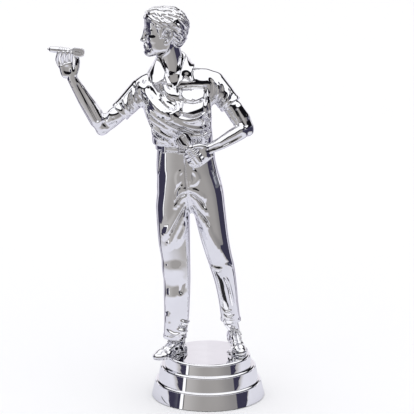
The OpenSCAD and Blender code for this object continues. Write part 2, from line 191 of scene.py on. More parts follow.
# Each panel of the studio: azimuth from and to, elevation from and to in degrees, its colour, and how
# far its edges fade in degrees. Azimuth 0 is towards the camera and 90 is towards +X.
PANELS = [
    (-95, 95, -90, 19, PALE_GREY, 1),
    (-30, 95, -90, 19, WARM_GREY, 20),
    (38, 95, -90, 19, DIM_GREY, 22),
    (-53, -51, -90, 19, BLACK, 0.8),
    (-60, -53, -90, 19, WHITE, 0.8),
    (-128, -60, -90, 28, NAVY, 0.8),
    (61, 128, -90, 28, NAVY, 0.8),
    (-128, -66, 2.4, 5.4, SLATE, 1.5),
    (-128, -72, 6.4, 9.6, SILVER, 4),
    (74, 128, 2.4, 5.4, SLATE, 1.5),
    (82, 128, 6.4, 9.6, SILVER, 4),
    (-120, 120, 15, 35, BLACK, 1.2),
    (-181, -119, 9, 21, PEARL, 2),
    (119, 181, 9, 21, PEARL, 2),
    (-153, -144, -90, 7, BLACK, 1.5),
    (144, 153, -90, 7, BLACK, 1.5),
    (-181, -119, 20, 37, BLACK, 1.2),
    (119, 181, 20, 37, BLACK, 1.2),
]


# How soft a panel's lower and upper edges are, and its right edge at most, in degrees.
PANEL_EDGE = 1.5


def studio():
    """The world: pale to the camera, even to the floor, and a room of panels to the chrome."""
    world = bpy.data.worlds.new("studio")
    world.cycles.sampling_method = "NONE"
    bpy.context.scene.world = world
    tree = Tree(world)

    def maths(kind, *values):
        return tree.add("Math", dict(enumerate(values)), operation=kind)[0]

    def between(value, low, high, low_edge, high_edge):
        over = tree.step_up(value, low - low_edge, low + low_edge)
        past = tree.step_up(value, high - high_edge, high + high_edge)
        return maths("MULTIPLY", over, maths("SUBTRACT", 1, past))

    way = tree.add("TexCoord", {})["Generated"]
    x, y, z = tree.add("SeparateXYZ", {0: way})
    azimuth = maths("MULTIPLY", maths("ARCTAN2", x, maths("MULTIPLY", y, -1)), 180 / math.pi)
    elevation = maths("MULTIPLY", maths("ARCSINE", z), 180 / math.pi)
    room = tree.mixed(tree.step_up(elevation, -3, 3), LAVENDER, WHITE)
    for left, right, low, high, colour, fade in PANELS:
        inside = between(azimuth, left, right, fade, min(fade, PANEL_EDGE))
        level = between(elevation, low, high, PANEL_EDGE, PANEL_EDGE)
        room = tree.mixed(maths("MULTIPLY", inside, level), room, colour)
    ray = tree.add("LightPath", {})
    seen = tree.mixed(ray["Is Diffuse Ray"], room, (1.12, 1.12, 1.12))
    seen = tree.mixed(ray["Is Camera Ray"], seen, (1.0, 1.0, 1.0))
    back = tree.add("Background", {"Color": seen})["Background"]
    tree.add("OutputWorld", {"Surface": back})


# ---------------- materials
def metal(name, colour, roughness, grain, relief):
    """Bright metal: its roughness drifts slowly over the surface, over a fine skin of tiny relief."""
    m = bpy.data.materials.new(name)
    tree = Tree(m)
    place = tree.add("TexCoord", {})["Object"]
    drift = tree.add("TexNoise", {"Vector": place, "Scale": 160, "Detail": 4})["Fac"]
    peel = tree.add("TexNoise", {"Vector": place, "Scale": grain, "Detail": 2})["Fac"]
    tone = tree.ramp(drift, (0.3, [c * 0.94 for c in colour]), (0.7, colour))
    haze = tree.add("MapRange", {"Value": drift, "From Min": 0.3, "From Max": 0.8,
                                 "To Min": roughness * 0.5, "To Max": roughness * 1.6})["Result"]
    bump = tree.add("Bump", {"Height": peel, "Strength": 1, "Distance": relief})["Normal"]
    tree.surface(Metallic=1, Base_Color=tone, Roughness=haze, Normal=bump)
    return m


# ---------------- clay: solids by signed distance
# The box of a shape that reaches past the whole figure, and the distance where there is no clay near.
ENDLESS = ((-99,) * 3, (199,) * 3)
FAR = 50.0


class Shape:
    """A signed distance in millimetres, negative inside, and the box outside which it is positive."""

    def __init__(self, distance, low, high):
        self.distance = distance
        self.low = np.array(low, np.float32)
        self.high = np.array(high, np.float32)


def turned(forward, up=(0, 0, 1)):
    """Rows of a rotation whose x axis is forward, with z as near to up as it can be."""
    x = np.array(forward, float)
    x /= np.linalg.norm(x)
    y = np.cross(up, x)
    y /= np.linalg.norm(y)
    return np.array([x, y, np.cross(x, y)], np.float32)


def ball(centre, radii, axes=None):
    """An ellipsoid."""
    c = np.array(centre, np.float32)
    r = np.array(radii if np.ndim(radii) else (radii,) * 3, np.float32)
    reach = r if axes is None else np.full(3, r.max(), np.float32)

    def distance(p):
        q = p - c
        if axes is not None:
            q = q @ axes.T
        far = np.sqrt(((q / r) ** 2).sum(1)) + 1e-6
        slope = np.sqrt(((q / r ** 2) ** 2).sum(1)) + 1e-6
        return far * (far - 1) / slope

    return Shape(distance, c - reach, c + reach)


def chain(points, radii):
    """Round cones end to end, as for a limb, a fold or a strand."""
    p0 = np.array(points, np.float32)
    r0 = np.array(radii if np.ndim(radii) else [radii] * len(points), np.float32)

    def distance(p):
        best = None
        for a, b, ra, rb in zip(p0[:-1], p0[1:], r0[:-1], r0[1:]):
            along = b - a
            t = np.clip(((p - a) @ along) / max(float(along @ along), 1e-6), 0, 1)
            gap = p - a - t[:, None] * along
            d = np.sqrt((gap * gap).sum(1)) - (ra + (rb - ra) * t)
            best = d if best is None else np.minimum(best, d)
        return best

    return Shape(distance, p0.min(0) - r0.max(), p0.max(0) + r0.max())


def brick(centre, half, axes=None, edge=0.1):
    """A box with rounded edges."""
    c = np.array(centre, np.float32)
    h = np.array(half, np.float32) - edge
    reach = h + edge if axes is None else np.full(3, np.linalg.norm(h + edge), np.float32)

    def distance(p):
        q = p - c
        if axes is not None:
            q = q @ axes.T
        q = np.abs(q) - h
        outside = np.sqrt((np.maximum(q, 0) ** 2).sum(1))
        return outside + np.minimum(q.max(1), 0) - edge

    return Shape(distance, c - reach, c + reach)


def half_space(point, normal):
    """Everything behind the plane; normal points out of the solid."""
    n = np.array(normal, np.float32)
    n /= np.linalg.norm(n)
    level = float(np.dot(n, point))
    return Shape(lambda p: p @ n - level, *ENDLESS)


def smooth_through(levels, values, at):
    """Monotone cubic interpolation through given sections."""
    x, y = np.array(levels, float), np.array(values, float)
    h = np.diff(x)
    s = np.diff(y) / h
    m = np.zeros(len(x))
    m[0], m[-1] = s[0], s[-1]
    for i in range(1, len(x) - 1):
        if s[i - 1] * s[i] > 0:
            w1, w2 = 2 * h[i] + h[i - 1], h[i] + 2 * h[i - 1]
            m[i] = (w1 + w2) / (w1 / s[i - 1] + w2 / s[i])
    k = np.clip(np.searchsorted(x, at) - 1, 0, len(h) - 1)
    t = (at - x[k]) / h[k]
    return ((1 + 2 * t) * (1 - t) ** 2 * y[k] + t * (1 - t) ** 2 * h[k] * m[k]
            + t * t * (3 - 2 * t) * y[k + 1] + t * t * (t - 1) * h[k] * m[k + 1])


def loft(sections, power=2.2):
    """Level sections, each (z, middle x, middle y, half width, half depth)."""
    rows = sorted(sections)
    levels = [r[0] for r in rows]
    table = np.linspace(levels[0], levels[-1], 160)
    middle_x, middle_y, width, depth = (smooth_through(levels, [r[i] for r in rows], table)
                                        for i in range(1, 5))

    def distance(p):
        z = p[:, 2]
        w = np.interp(z, table, width).astype(np.float32)
        d = np.interp(z, table, depth).astype(np.float32)
        x = np.abs(p[:, 0] - np.interp(z, table, middle_x).astype(np.float32)) + 1e-4
        y = np.abs(p[:, 1] - np.interp(z, table, middle_y).astype(np.float32)) + 1e-4
        far = ((x / w) ** power + (y / d) ** power) ** (1 / power)
        slope = far ** (1 - power) * np.sqrt((x ** (power - 1) / w ** power) ** 2
                                             + (y ** (power - 1) / d ** power) ** 2)
        side = (far - 1) / np.maximum(slope, 1e-3)
        return np.maximum(side, np.maximum(levels[0] - z, z - levels[-1]))

    low = (min(middle_x - width), min(middle_y - depth), levels[0])
    high = (max(middle_x + width), max(middle_y + depth), levels[-1])
    return Shape(distance, low, high)


class Clay:
    """Shapes added, cut and kept one after the other, each with a soft blend of k millimetres."""

    def __init__(self):
        self.steps = []

    def step(self, kind, shape, k):
        self.steps.append((kind, shape, k))
        return self

    def add(self, shape, k=0.0):
        return self.step("add", shape, k)

    def cut(self, shape, k=0.0):
        return self.step("cut", shape, k)

    def keep(self, shape, k=0.0):
        return self.step("keep", shape, k)

    def copy(self):
        other = Clay()
        other.steps = list(self.steps)
        return other

    def distance(self, p, band=1.0):
        d = np.full(len(p), FAR, np.float32)
        for kind, shape, k in self.steps:
            if kind == "keep":
                d = -soft(-d, -shape.distance(p), k)
                continue
            reach = k + band
            near = np.flatnonzero(((p > shape.low - reach) & (p < shape.high + reach)).all(1))
            if not len(near):
                continue
            s = shape.distance(p[near])
            d[near] = soft(d[near], s, k) if kind == "add" else -soft(-d[near], s, k)
        return d

    def normal(self, p):
        """The outward direction at each point."""
        tiny = 0.05 * np.eye(3, dtype=np.float32)
        slope = np.stack([self.distance(p + t, 60) - self.distance(p - t, 60) for t in tiny], 1)
        return slope / np.maximum(np.linalg.norm(slope, axis=1), 1e-6)[:, None]

    def box(self):
        added = [s for kind, s, k in self.steps if kind == "add"]
        return np.min([s.low for s in added], 0), np.max([s.high for s in added], 0)

    def shape(self, band=1.0):
        """The whole clay as one shape."""
        return Shape(lambda p: self.distance(p, band), *self.box())

    def on(self, x, z, side=-1):
        """The surface's y at each (x, z), seen from the front (-1) or the back (+1)."""
        x, z = np.atleast_1d(np.array(x, np.float32)), np.atleast_1d(np.array(z, np.float32))
        # every point walks in from well outside, and stops near the middle where it meets nothing
        y = np.full(len(x), side * 24.0, np.float32)
        for _ in range(70):
            d = self.distance(np.stack([x, y, z], 1), 60)
            y = y - side * np.clip(d * 0.8, -0.5, 1.0)
            y = np.minimum(y, 2.4) if side < 0 else np.maximum(y, 3.0)
        return y


def soft(a, b, k):
    """The smaller of two distances, rounded over k."""
    if k <= 0:
        return np.minimum(a, b)
    h = np.maximum(k - np.abs(a - b), 0) / k
    return np.minimum(a, b) - h * h * (k * 0.25)


def skin(clay, step):
    """The clay's surface as points and faces: a coarse pass finds it, and a fine pass follows it."""
    low, high = clay.box()
    low, high = low - 4 * step, high + 4 * step
    blocks = np.ceil((high - low) / (4 * step)).astype(int) + 1
    axes = [low[i] + 4 * step * (np.arange(blocks[i]) + 0.375) for i in range(3)]
    coarse = np.stack(np.meshgrid(*axes, indexing="ij"), -1).reshape(-1, 3).astype(np.float32)
    rough = clay.distance(coarse, 8 * step)
    near = np.flatnonzero(np.abs(rough) < 4.6 * step)
    fine = np.repeat(np.repeat(np.repeat(rough.reshape(blocks), 4, 0), 4, 1), 4, 2)
    inner = np.stack(np.meshgrid(*[(np.arange(4) - 1.5) * step] * 3, indexing="ij"), -1).reshape(1, -1, 3)
    index = np.stack(np.unravel_index(near, blocks), 1)
    for part in np.array_split(np.arange(len(near)), max(1, len(near) // 6000)):
        points = (coarse[near[part]][:, None, :] + inner).reshape(-1, 3).astype(np.float32)
        values = clay.distance(points, 2 * step).reshape(-1, 4, 4, 4)
        for (i, j, k), block in zip(index[part] * 4, values):
            fine[i:i + 4, j:j + 4, k:k + 4] = block
    grid = openvdb.FloatGrid(background=FAR)
    grid.copyFromArray(np.clip(fine, -FAR, FAR))
    points, triangles, quads = grid.convertToPolygons(0.0, 0.0)
    points, triangles, quads = main_part(low + points * step, triangles.astype(int), quads.astype(int))
    for _ in range(2):
        points = settled(clay, points, step)
    return points, [tuple(f[::-1]) for f in triangles.tolist() + quads.tolist()]


def main_part(points, triangles, quads):
    """Drops the specks that crossing folds leave inside, and keeps the one large surface."""
    links = np.vstack([triangles[:, :2], triangles[:, 1:], quads[:, :2], quads[:, 1:3], quads[:, 2:]])
    label = np.arange(len(points))
    while True:
        lower = np.minimum(label[links[:, 0]], label[links[:, 1]])
        joined = label.copy()
        np.minimum.at(joined, links[:, 0], lower)
        np.minimum.at(joined, links[:, 1], lower)
        joined = joined[joined]
        if (joined == label).all():
            break
        label = joined
    kept = label == np.bincount(label).argmax()
    number = np.cumsum(kept) - 1
    return (points[kept].astype(np.float32), number[triangles[kept[triangles].all(1)]],
            number[quads[kept[quads].all(1)]])


def settled(clay, points, step):
    """Moves each point onto the clay's true surface."""
    d = clay.distance(points, 2 * step)
    tiny = 0.02
    moves = tiny * np.eye(3, dtype=np.float32)
    slope = np.stack([clay.distance(points + move, 2 * step) - d for move in moves], 1) / tiny
    size = np.maximum((slope ** 2).sum(1), 0.2)
    return points - np.clip(d / size, -step, step)[:, None] * slope


def piece(name, points, faces, material, nodes):
    """A Blender object from figure millimetres, in the frame, standing for its CAD nodes."""
    at = (np.asarray(points, float) * FIGURE + (0, 0, BASE_H)) * MM
    mesh = bpy.data.meshes.new(name)
    mesh.from_pydata(at.tolist(), [], faces)
    mesh.polygons.foreach_set("use_smooth", [True] * len(mesh.polygons))
    mesh.materials.append(material)
    mesh.update()
    obj = bpy.data.objects.new(name, mesh)
    bpy.context.scene.collection.objects.link(obj)
    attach(obj, "root")
    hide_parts(*nodes)
    return obj


def frame_axes(origin, forward, up=(0, 0, 1)):
    """Functions that carry shapes and points between a local frame and the figure's."""
    o = np.array(origin, np.float32)
    axes = turned(forward, up)

    def to_local(p):
        return (np.asarray(p, np.float32) - o) @ axes.T

    def from_local(p):
        return o + np.asarray(p, np.float32) @ axes

    return to_local, from_local


def outline_distance(outline, q):
    """Signed distance in the plane to a closed outline."""
    best = np.full(len(q), 1e9, np.float32)
    sign = np.ones(len(q), np.float32)
    for a, b in zip(outline, np.roll(outline, 1, 0)):
        e, w = b - a, q - a
        t = np.clip((w @ e) / float(e @ e), 0, 1)
        gap = w - t[:, None] * e
        best = np.minimum(best, (gap * gap).sum(1))
        crosses = (q[:, 1] >= a[1]) != (q[:, 1] >= b[1])
        left = e[0] * w[:, 1] - e[1] * w[:, 0] > 0
        sign = np.where(crosses & (left == (b[1] > a[1])), -sign, sign)
    return sign * np.sqrt(best)


def panel(base, outline, rise, edge=0.3, side=-1, lean=0.0):
    """A patch proud of the base inside an outline of (x, z) points. It may lean out towards its foot."""
    o = np.array(outline, np.float32)
    top = float(o[:, 1].max())
    # the y at which a panel ends, so that it doesn't wrap round to the other side
    limit = 3

    def distance(p):
        flat = outline_distance(o, p[:, (0, 2)])
        over = base.distance(p, 4) - rise - lean * np.maximum(top - p[:, 2], 0)
        return np.maximum(-soft(-flat, -over, edge), -side * (p[:, 1] - limit))

    low, high = o.min(0), o.max(0)
    near, far = (-14, limit) if side < 0 else (limit, 16)
    return Shape(distance, (low[0], near, low[1]), (high[0], far, high[1]))


def eased(points, per=5):
    """A smooth curve through given points."""
    p = np.array(points, float)
    p = np.vstack([2 * p[0] - p[1], p, 2 * p[-1] - p[-2]])
    out = []
    for a, b, c, d in zip(p[:-3], p[1:-2], p[2:-1], p[3:]):
        for t in np.arange(per) / per:
            out.append(0.5 * (2 * b + (c - a) * t + (2 * a - 5 * b + 4 * c - d) * t ** 2
                              + (3 * b - a - 3 * c + d) * t ** 3))
    return np.array(out + [p[-2]])


def swept(points, start, end):
    """A tapering roll along a smooth path, as for a finger."""
    path = eased(points, 3)
    return chain(path, np.linspace(start, end, len(path)))


def fold(clay, base, points, rise, r=0.8, k=1.0, side=-1, ends=(0, 0)):
    """A soft ridge, or where rise is negative a crease, over the base along (x, z) points."""
    path = eased(points, 4)
    t = np.linspace(0, 1, len(path))
    swell = np.clip(np.sin(math.pi * np.clip(t * 0.94 + 0.03, 0, 1)) * 1.6, 0, 1)
    swell = np.maximum(swell, np.interp(t, (0, 1), ends))[:, None]
    spots = np.stack([path[:, 0], base.on(path[:, 0], path[:, 1], side), path[:, 1]], 1).astype(np.float32)
    met = np.abs(base.distance(spots, 60)) < 0.25
    if met.sum() < 2:
        return clay
    spots, swell = spots[met], swell[met]
    radius = r * (0.45 + 0.55 * swell)
    # a soft blend adds height of its own, so the core sits lower by that much
    top = 2 * np.sqrt(k * abs(rise) * swell) - k
    depth = (radius - top) * base.normal(spots)
    if rise > 0:
        clay.add(chain(spots - depth, radius[:, 0]), k)
    else:
        clay.cut(chain(spots + depth, radius[:, 0]), k)
    return clay


def folds(clay, base, table, side=-1, relief=1.0):
    """A fold for each row of a table: its points, rise, radius and blend."""
    for points, rise, r, k in table:
        fold(clay, base, points, rise * relief, r, k, side)


# ---------------- trousers
PELVIS = [(71, -7.5, 2.6, 9.4, 6.3), (67, -7.4, 2.6, 9.7, 6.6), (62, -6.9, 2.7, 10.2, 6.95),
          (57, -6.4, 2.8, 10.1, 6.7), (53, -6.1, 2.8, 8.0, 5.6), (49, -5.9, 2.6, 4, 3.6)]
RIGHT_LEG = [(66, -9.6, 2.6, 3.2, 3.8), (61, -10.7, 2.45, 5.2, 6.1), (57, -10.9, 2.3, 5.95, 6.6),
             (50, -11.7, 2.0, 5.7, 6.4), (39, -11.35, 1.2, 5.3, 5.5), (32, -10.75, 0.8, 4.8, 5.0),
             (24, -10.45, 0.5, 4.5, 4.7), (13, -10.6, 0.3, 4.2, 4.4), (5.6, -11.2, 0.1, 3.8, 4.25)]
LEFT_LEG = [(66, -4.4, 2.7, 3.4, 3.9), (61, -2.2, 2.8, 5.4, 6.2), (57, -1.3, 2.8, 6.1, 6.7),
            (50, 0.2, 2.4, 5.5, 6.4), (40.3, 2, 1.7, 4.8, 5.6), (34, 3.5, 1.4, 4.4, 5.1),
            (30.8, 4.4, 1.8, 4.25, 4.9), (22.4, 6.1, 3.7, 3.6, 4.5), (16, 6.95, 5.1, 3.3, 4.25),
            (9.4, 7.7, 6.9, 3.25, 4.1)]

# Ridges and creases on the front of the trousers: (x, z) points, rise, radius, blend.
TROUSER_FOLDS = [
    # from the crotch over the right thigh
    ([(-7.2, 57.5), (-9, 56.8), (-10.8, 54)], 0.45, 0.9, 1.2),
    ([(-7, 55.5), (-9, 54), (-11, 51)], 0.5, 0.8, 1.1),
    ([(-7.1, 53.5), (-9, 50.6), (-12.4, 44.5), (-14.6, 41)], 0.55, 1.0, 1.4),
    ([(-7.3, 51), (-8.8, 47), (-11.6, 41), (-13.2, 37.6)], 0.5, 0.9, 1.3),
    ([(-7.4, 47), (-8.4, 43), (-10.6, 38.5)], 0.45, 0.8, 1.2),
    ([(-7.6, 56.2), (-9.4, 55.4), (-11.2, 52.4)], -0.3, 0.35, 0.5),
    ([(-7.4, 52.6), (-9.6, 48.6), (-12.6, 42.6)], -0.35, 0.35, 0.6),
    # from the crotch over the left thigh
    ([(-6, 57.6), (-3.6, 56.4), (-1, 54)], 0.5, 0.9, 1.2),
    ([(-5.8, 55.4), (-3.2, 52.6), (-0.4, 49)], 0.6, 0.9, 1.2),
    ([(-5.4, 52.8), (-2.6, 49), (0.6, 44)], 0.6, 0.9, 1.2),
    ([(-4.4, 50.2), (-1.6, 46), (1.6, 40), (4.6, 34.6)], 0.6, 1.0, 1.4),
    ([(-5.8, 56.4), (-3, 54.3), (-0.6, 51.2)], -0.35, 0.35, 0.5),
    ([(-4.8, 52.4), (-2.2, 49.2), (0.4, 45.4)], -0.35, 0.35, 0.5),
    # beside the fly
    ([(-8.2, 64.6), (-10, 62.4), (-9.8, 59.6), (-8.2, 58.6)], 0.28, 0.6, 0.8),
    ([(-6.4, 64.8), (-4.4, 63.4), (-3.4, 61.4), (-4.6, 59.6), (-6.2, 59.2)], 0.3, 0.6, 0.8),
    ([(-8.6, 60.2), (-10.4, 57.4), (-10.9, 54.4)], -0.25, 0.4, 0.6),
    # along the inner left thigh
    ([(-3.6, 45), (-1.6, 38.8), (0.4, 32.4)], -0.4, 0.35, 0.4),
    # right knee and shin
    ([(-15, 30.4), (-13.2, 29.4), (-10.4, 31)], 0.2, 1.8, 3.4),
    ([(-15, 25.6), (-12, 24.8), (-8.6, 25.6)], -0.12, 1.4, 2.6),
    ([(-12.6, 20.4), (-11, 20.2), (-8.2, 21.6)], 0.26, 1.6, 2.9),
    ([(-8, 25.8), (-8.8, 24), (-9.3, 21.8)], -0.4, 0.5, 0.6),
    ([(-13.4, 15), (-13.6, 12.4), (-13.2, 10)], 0.35, 0.7, 0.8),
    ([(-13.8, 8.8), (-11, 7.4), (-8, 8.8)], 0.5, 0.5, 0.5),
    ([(-5.8, 11.6), (-7.6, 11.4), (-9, 12.2)], 0.55, 0.6, 0.5),
    ([(-5.8, 8.2), (-8, 8.4), (-10.2, 9.2)], 0.6, 0.6, 0.5),
    ([(-5.9, 10.4), (-8, 10), (-9.8, 10.6)], -0.8, 0.4, 0.3),
    # left knee and shin
    ([(0.8, 31), (2.6, 30.2), (4.6, 30)], 0.6, 0.7, 0.7),
    ([(5.4, 27.8), (6.8, 24.6), (7.8, 20), (8.6, 15.4)], 0.45, 0.45, 0.5),
    ([(4.6, 15.4), (6, 13.6), (8, 14.6)], 0.7, 0.5, 0.4),
    ([(5.2, 12.9), (6.6, 11.6), (9, 12.6)], 0.6, 0.45, 0.35),
    ([(5.6, 31.6), (7, 31), (8, 30)], 0.3, 0.5, 0.6),
]
# The same on the back.
SEAT_FOLDS = [
    ([(-6, 66), (-6.1, 60), (-6, 54.6)], -0.6, 0.7, 1.6),
    ([(-12.6, 52.4), (-9.6, 51), (-6.8, 52.6)], -0.45, 0.7, 1.4),
    ([(0.6, 53), (-2, 51.4), (-5, 52.8)], -0.45, 0.7, 1.4),
    ([(-15.4, 49), (-12, 47.6), (-8.2, 49.4)], 0.3, 0.8, 1.2),
    ([(-15, 33), (-12, 31.4), (-8.4, 33.2)], -0.3, 0.9, 1.5),
    ([(-14.6, 30.2), (-11.6, 29.2), (-8.2, 30.6)], 0.3, 0.9, 1.5),
    ([(-14.4, 27), (-11.2, 25.6), (-8, 27.4)], -0.25, 0.9, 1.5),
    ([(-14, 21), (-11.2, 19.4), (-8, 21.4)], 0.3, 0.8, 1.2),
    ([(0.6, 34), (3.6, 32.2), (7.6, 33.8)], -0.3, 0.9, 1.5),
    ([(1.4, 31), (4.4, 29.6), (8.2, 31)], 0.3, 0.9, 1.5),
    ([(2.4, 28), (5.2, 26.6), (8.8, 28.2)], -0.25, 0.9, 1.5),
    ([(4.2, 20), (6.6, 18.8), (9.4, 20.4)], 0.3, 0.7, 1.1),
    ([(-13.6, 10), (-11, 8.6), (-8.6, 10.4)], 0.35, 0.6, 0.9),
    ([(5.4, 14), (7.4, 12.8), (9.8, 14.2)], 0.35, 0.6, 0.9),
]


# Both hems: the turned band, then the hollow above the shoe.
HEMS = [([(5.6, -11.2, 0.1, 4.0, 4.45), (6.6, -11.15, 0.1, 3.98, 4.43), (7.2, -11.1, 0.1, 3.6, 4.0)],
         [(4, -11.2, 0.1, 3.2, 3.6), (6.4, -11.2, 0.1, 3.2, 3.6)]),
        ([(9.4, 7.7, 6.9, 3.5, 4.35), (10.4, 7.6, 6.6, 3.48, 4.33), (11, 7.5, 6.4, 3.1, 3.9)],
         [(8, 7.7, 7.0, 2.7, 3.5), (10.2, 7.7, 6.8, 2.7, 3.5)])]


def trousers_clay():
    c = Clay()
    c.add(loft(PELVIS, 2.5))
    c.add(loft(RIGHT_LEG, 2.55), 1.6)
    c.add(loft(LEFT_LEG, 2.45), 1.6)
    for x in (-10.9, -2.1):
        c.add(ball((x, 5.6, 58.6), (4.9, 4.2, 5.4)), 2.4)
    base = c.copy()
    folds(c, base, TROUSER_FOLDS)
    folds(c, base, SEAT_FOLDS, side=1)
    # the fly's overlap, its stitching line and the side pockets
    fly = [(-8.1, 69.6), (-5.4, 69.6), (-5.3, 60), (-6.3, 56.8), (-7.3, 57.6)]
    c.add(panel(base, fly, 0.22, 0.3), 0.15)
    fold(c, base, [(-7.7, 69), (-7.5, 62), (-6.9, 57), (-6.4, 51)], -0.22, 0.22, 0.3, ends=(1, 0))
    for pocket in ([(-15.6, 69.2), (-16, 66), (-16.5, 62)], [(0.7, 69.2), (1.4, 66), (2.2, 62)]):
        fold(c, base, pocket, -0.3, 0.25, 0.4, ends=(1, 0))
    # back pockets and the back seam
    for x in (-11.6, -2.4):
        c.add(panel(base, [(x - 2.4, 65.6), (x + 2.4, 65.6), (x + 2.3, 60.4), (x, 59.4), (x - 2.3, 60.4)],
                    0.28, 0.3, 1), 0.15)
        fold(c, base, [(x - 2.4, 64.7), (x, 64.5), (x + 2.4, 64.7)], -0.2, 0.2, 0.2, 1, (1, 1))
    for band, _ in HEMS:
        c.add(loft(band, 2.15), 0.2)
    for _, hollow in HEMS:
        c.cut(loft(hollow), 0.2)
    c.keep(half_space((0, 0, 70.6), (0, 0, 1)), 0.2)
    return c


# ---------------- belt
# The belt's loops, each with its middle x and its side, and the buckle's frame and opening.
LOOPS = [(-14.6, -1), (-2.2, -1), (0.6, -1), (-13.4, 1), (-7.5, 1), (-1.6, 1)]
BUCKLE = [(-9.9, 69.7), (-6.1, 69.7), (-6.1, 72.4), (-9.9, 72.4)]
BUCKLE_HOLE = [(-9.3, 70.3), (-6.8, 70.3), (-6.8, 71.8), (-9.3, 71.8)]


def belt_clay():
    c = Clay()
    c.add(loft([(69.9, -7.5, 2.6, 9.75, 6.65), (70.2, -7.5, 2.6, 9.95, 6.85), (71.9, -7.6, 2.6, 9.95, 6.85),
                (72.2, -7.6, 2.6, 9.75, 6.65)], 2.25))
    ring = Clay().add(loft([(66, -7.5, 2.6, 9.95, 6.85), (76, -7.55, 2.6, 9.95, 6.85)], 2.25))
    for x, side in LOOPS:
        strip = [(x - 0.6, 69.6), (x + 0.6, 69.6), (x + 0.6, 72.5), (x - 0.6, 72.5)]
        c.add(panel(ring, strip, 0.4, 0.3, side), 0.1)
    for level in (70.35, 71.75):
        for side in (-1, 1):
            fold(c, ring, [(-16.6, level), (-7.5, level), (1.6, level)], -0.12, 0.14, 0.15, side, (1, 1))
    c.add(panel(ring, BUCKLE, 0.75, 0.4), 0.1)
    c.cut(panel(Clay().add(brick((-8, -4.5, 71), (3, 3, 3))), BUCKLE_HOLE, 0.5, 0.2), 0.1)
    c.add(loft([(70.5, -8.3, -3.9, 1.6, 0.5), (71.6, -8.3, -3.9, 1.6, 0.5)], 4), 0.05)
    c.add(chain([(-6.6, -4.75, 71.05), (-9.5, -4.85, 71.05)], [0.22, 0.16]), 0.1)
    c.cut(loft([(66, -7.5, 2.6, 8.6, 5.5), (76, -7.5, 2.6, 8.6, 5.5)], 2.25))
    return c


# ---------------- shirt
TORSO = [(71.2, -8.3, 2.6, 9.3, 6.2), (72.3, -8.5, 2.6, 10.0, 6.95), (74, -8.55, 2.4, 10.05, 7.25),
         (77, -8.8, 1.7, 10.05, 7.8), (81, -9.6, 0.9, 10.8, 8.65), (84, -10.1, 1.15, 11.3, 8.45),
         (88, -10.2, 2.15, 12.6, 7.35), (91.6, -10.2, 2.9, 13.2, 5.9), (94.2, -10.4, 3, 10.4, 4.9),
         (96.4, -11, 3.1, 6.2, 4.4)]
NECK = ([(-11.2, 3.2, 94), (-12.3, 3, 100.4), (-13.2, 2.8, 104)], [4.0, 3.8, 3.9])
YOKE = ([(-20.0, 2.6, 91.0), (-11.2, 3.1, 93.9), (-1.4, 2.9, 93.0)], [3.7, 3.9, 3.8])
RIGHT_SLEEVE = ([(-19.4, 2.6, 90.6), (-22.3, 2.2, 89.6), (-26.4, 1.2, 85.4), (-29.5, 0.5, 82.4)],
                [4.2, 4.1, 3.7, 3.35])
LEFT_SLEEVE = ([(-0.6, 2.8, 92), (1.8, 2.8, 91.8), (5, 1.6, 88.2), (7.7, 0.5, 84.9)], [4.2, 4.2, 3.9, 3.65])
# each sleeve's hem: its middle, and the direction in which the sleeve ends
RIGHT_HEM = (np.array((-29.3, 0.55, 82.6)), np.array((-0.713, -0.161, -0.69)))
LEFT_HEM = (np.array((7.5, 0.55, 85.1)), np.array((0.617, -0.251, -0.754)))
# how far from a sleeve's axis the plane of its hem still cuts
HEM_REACH = 6.5

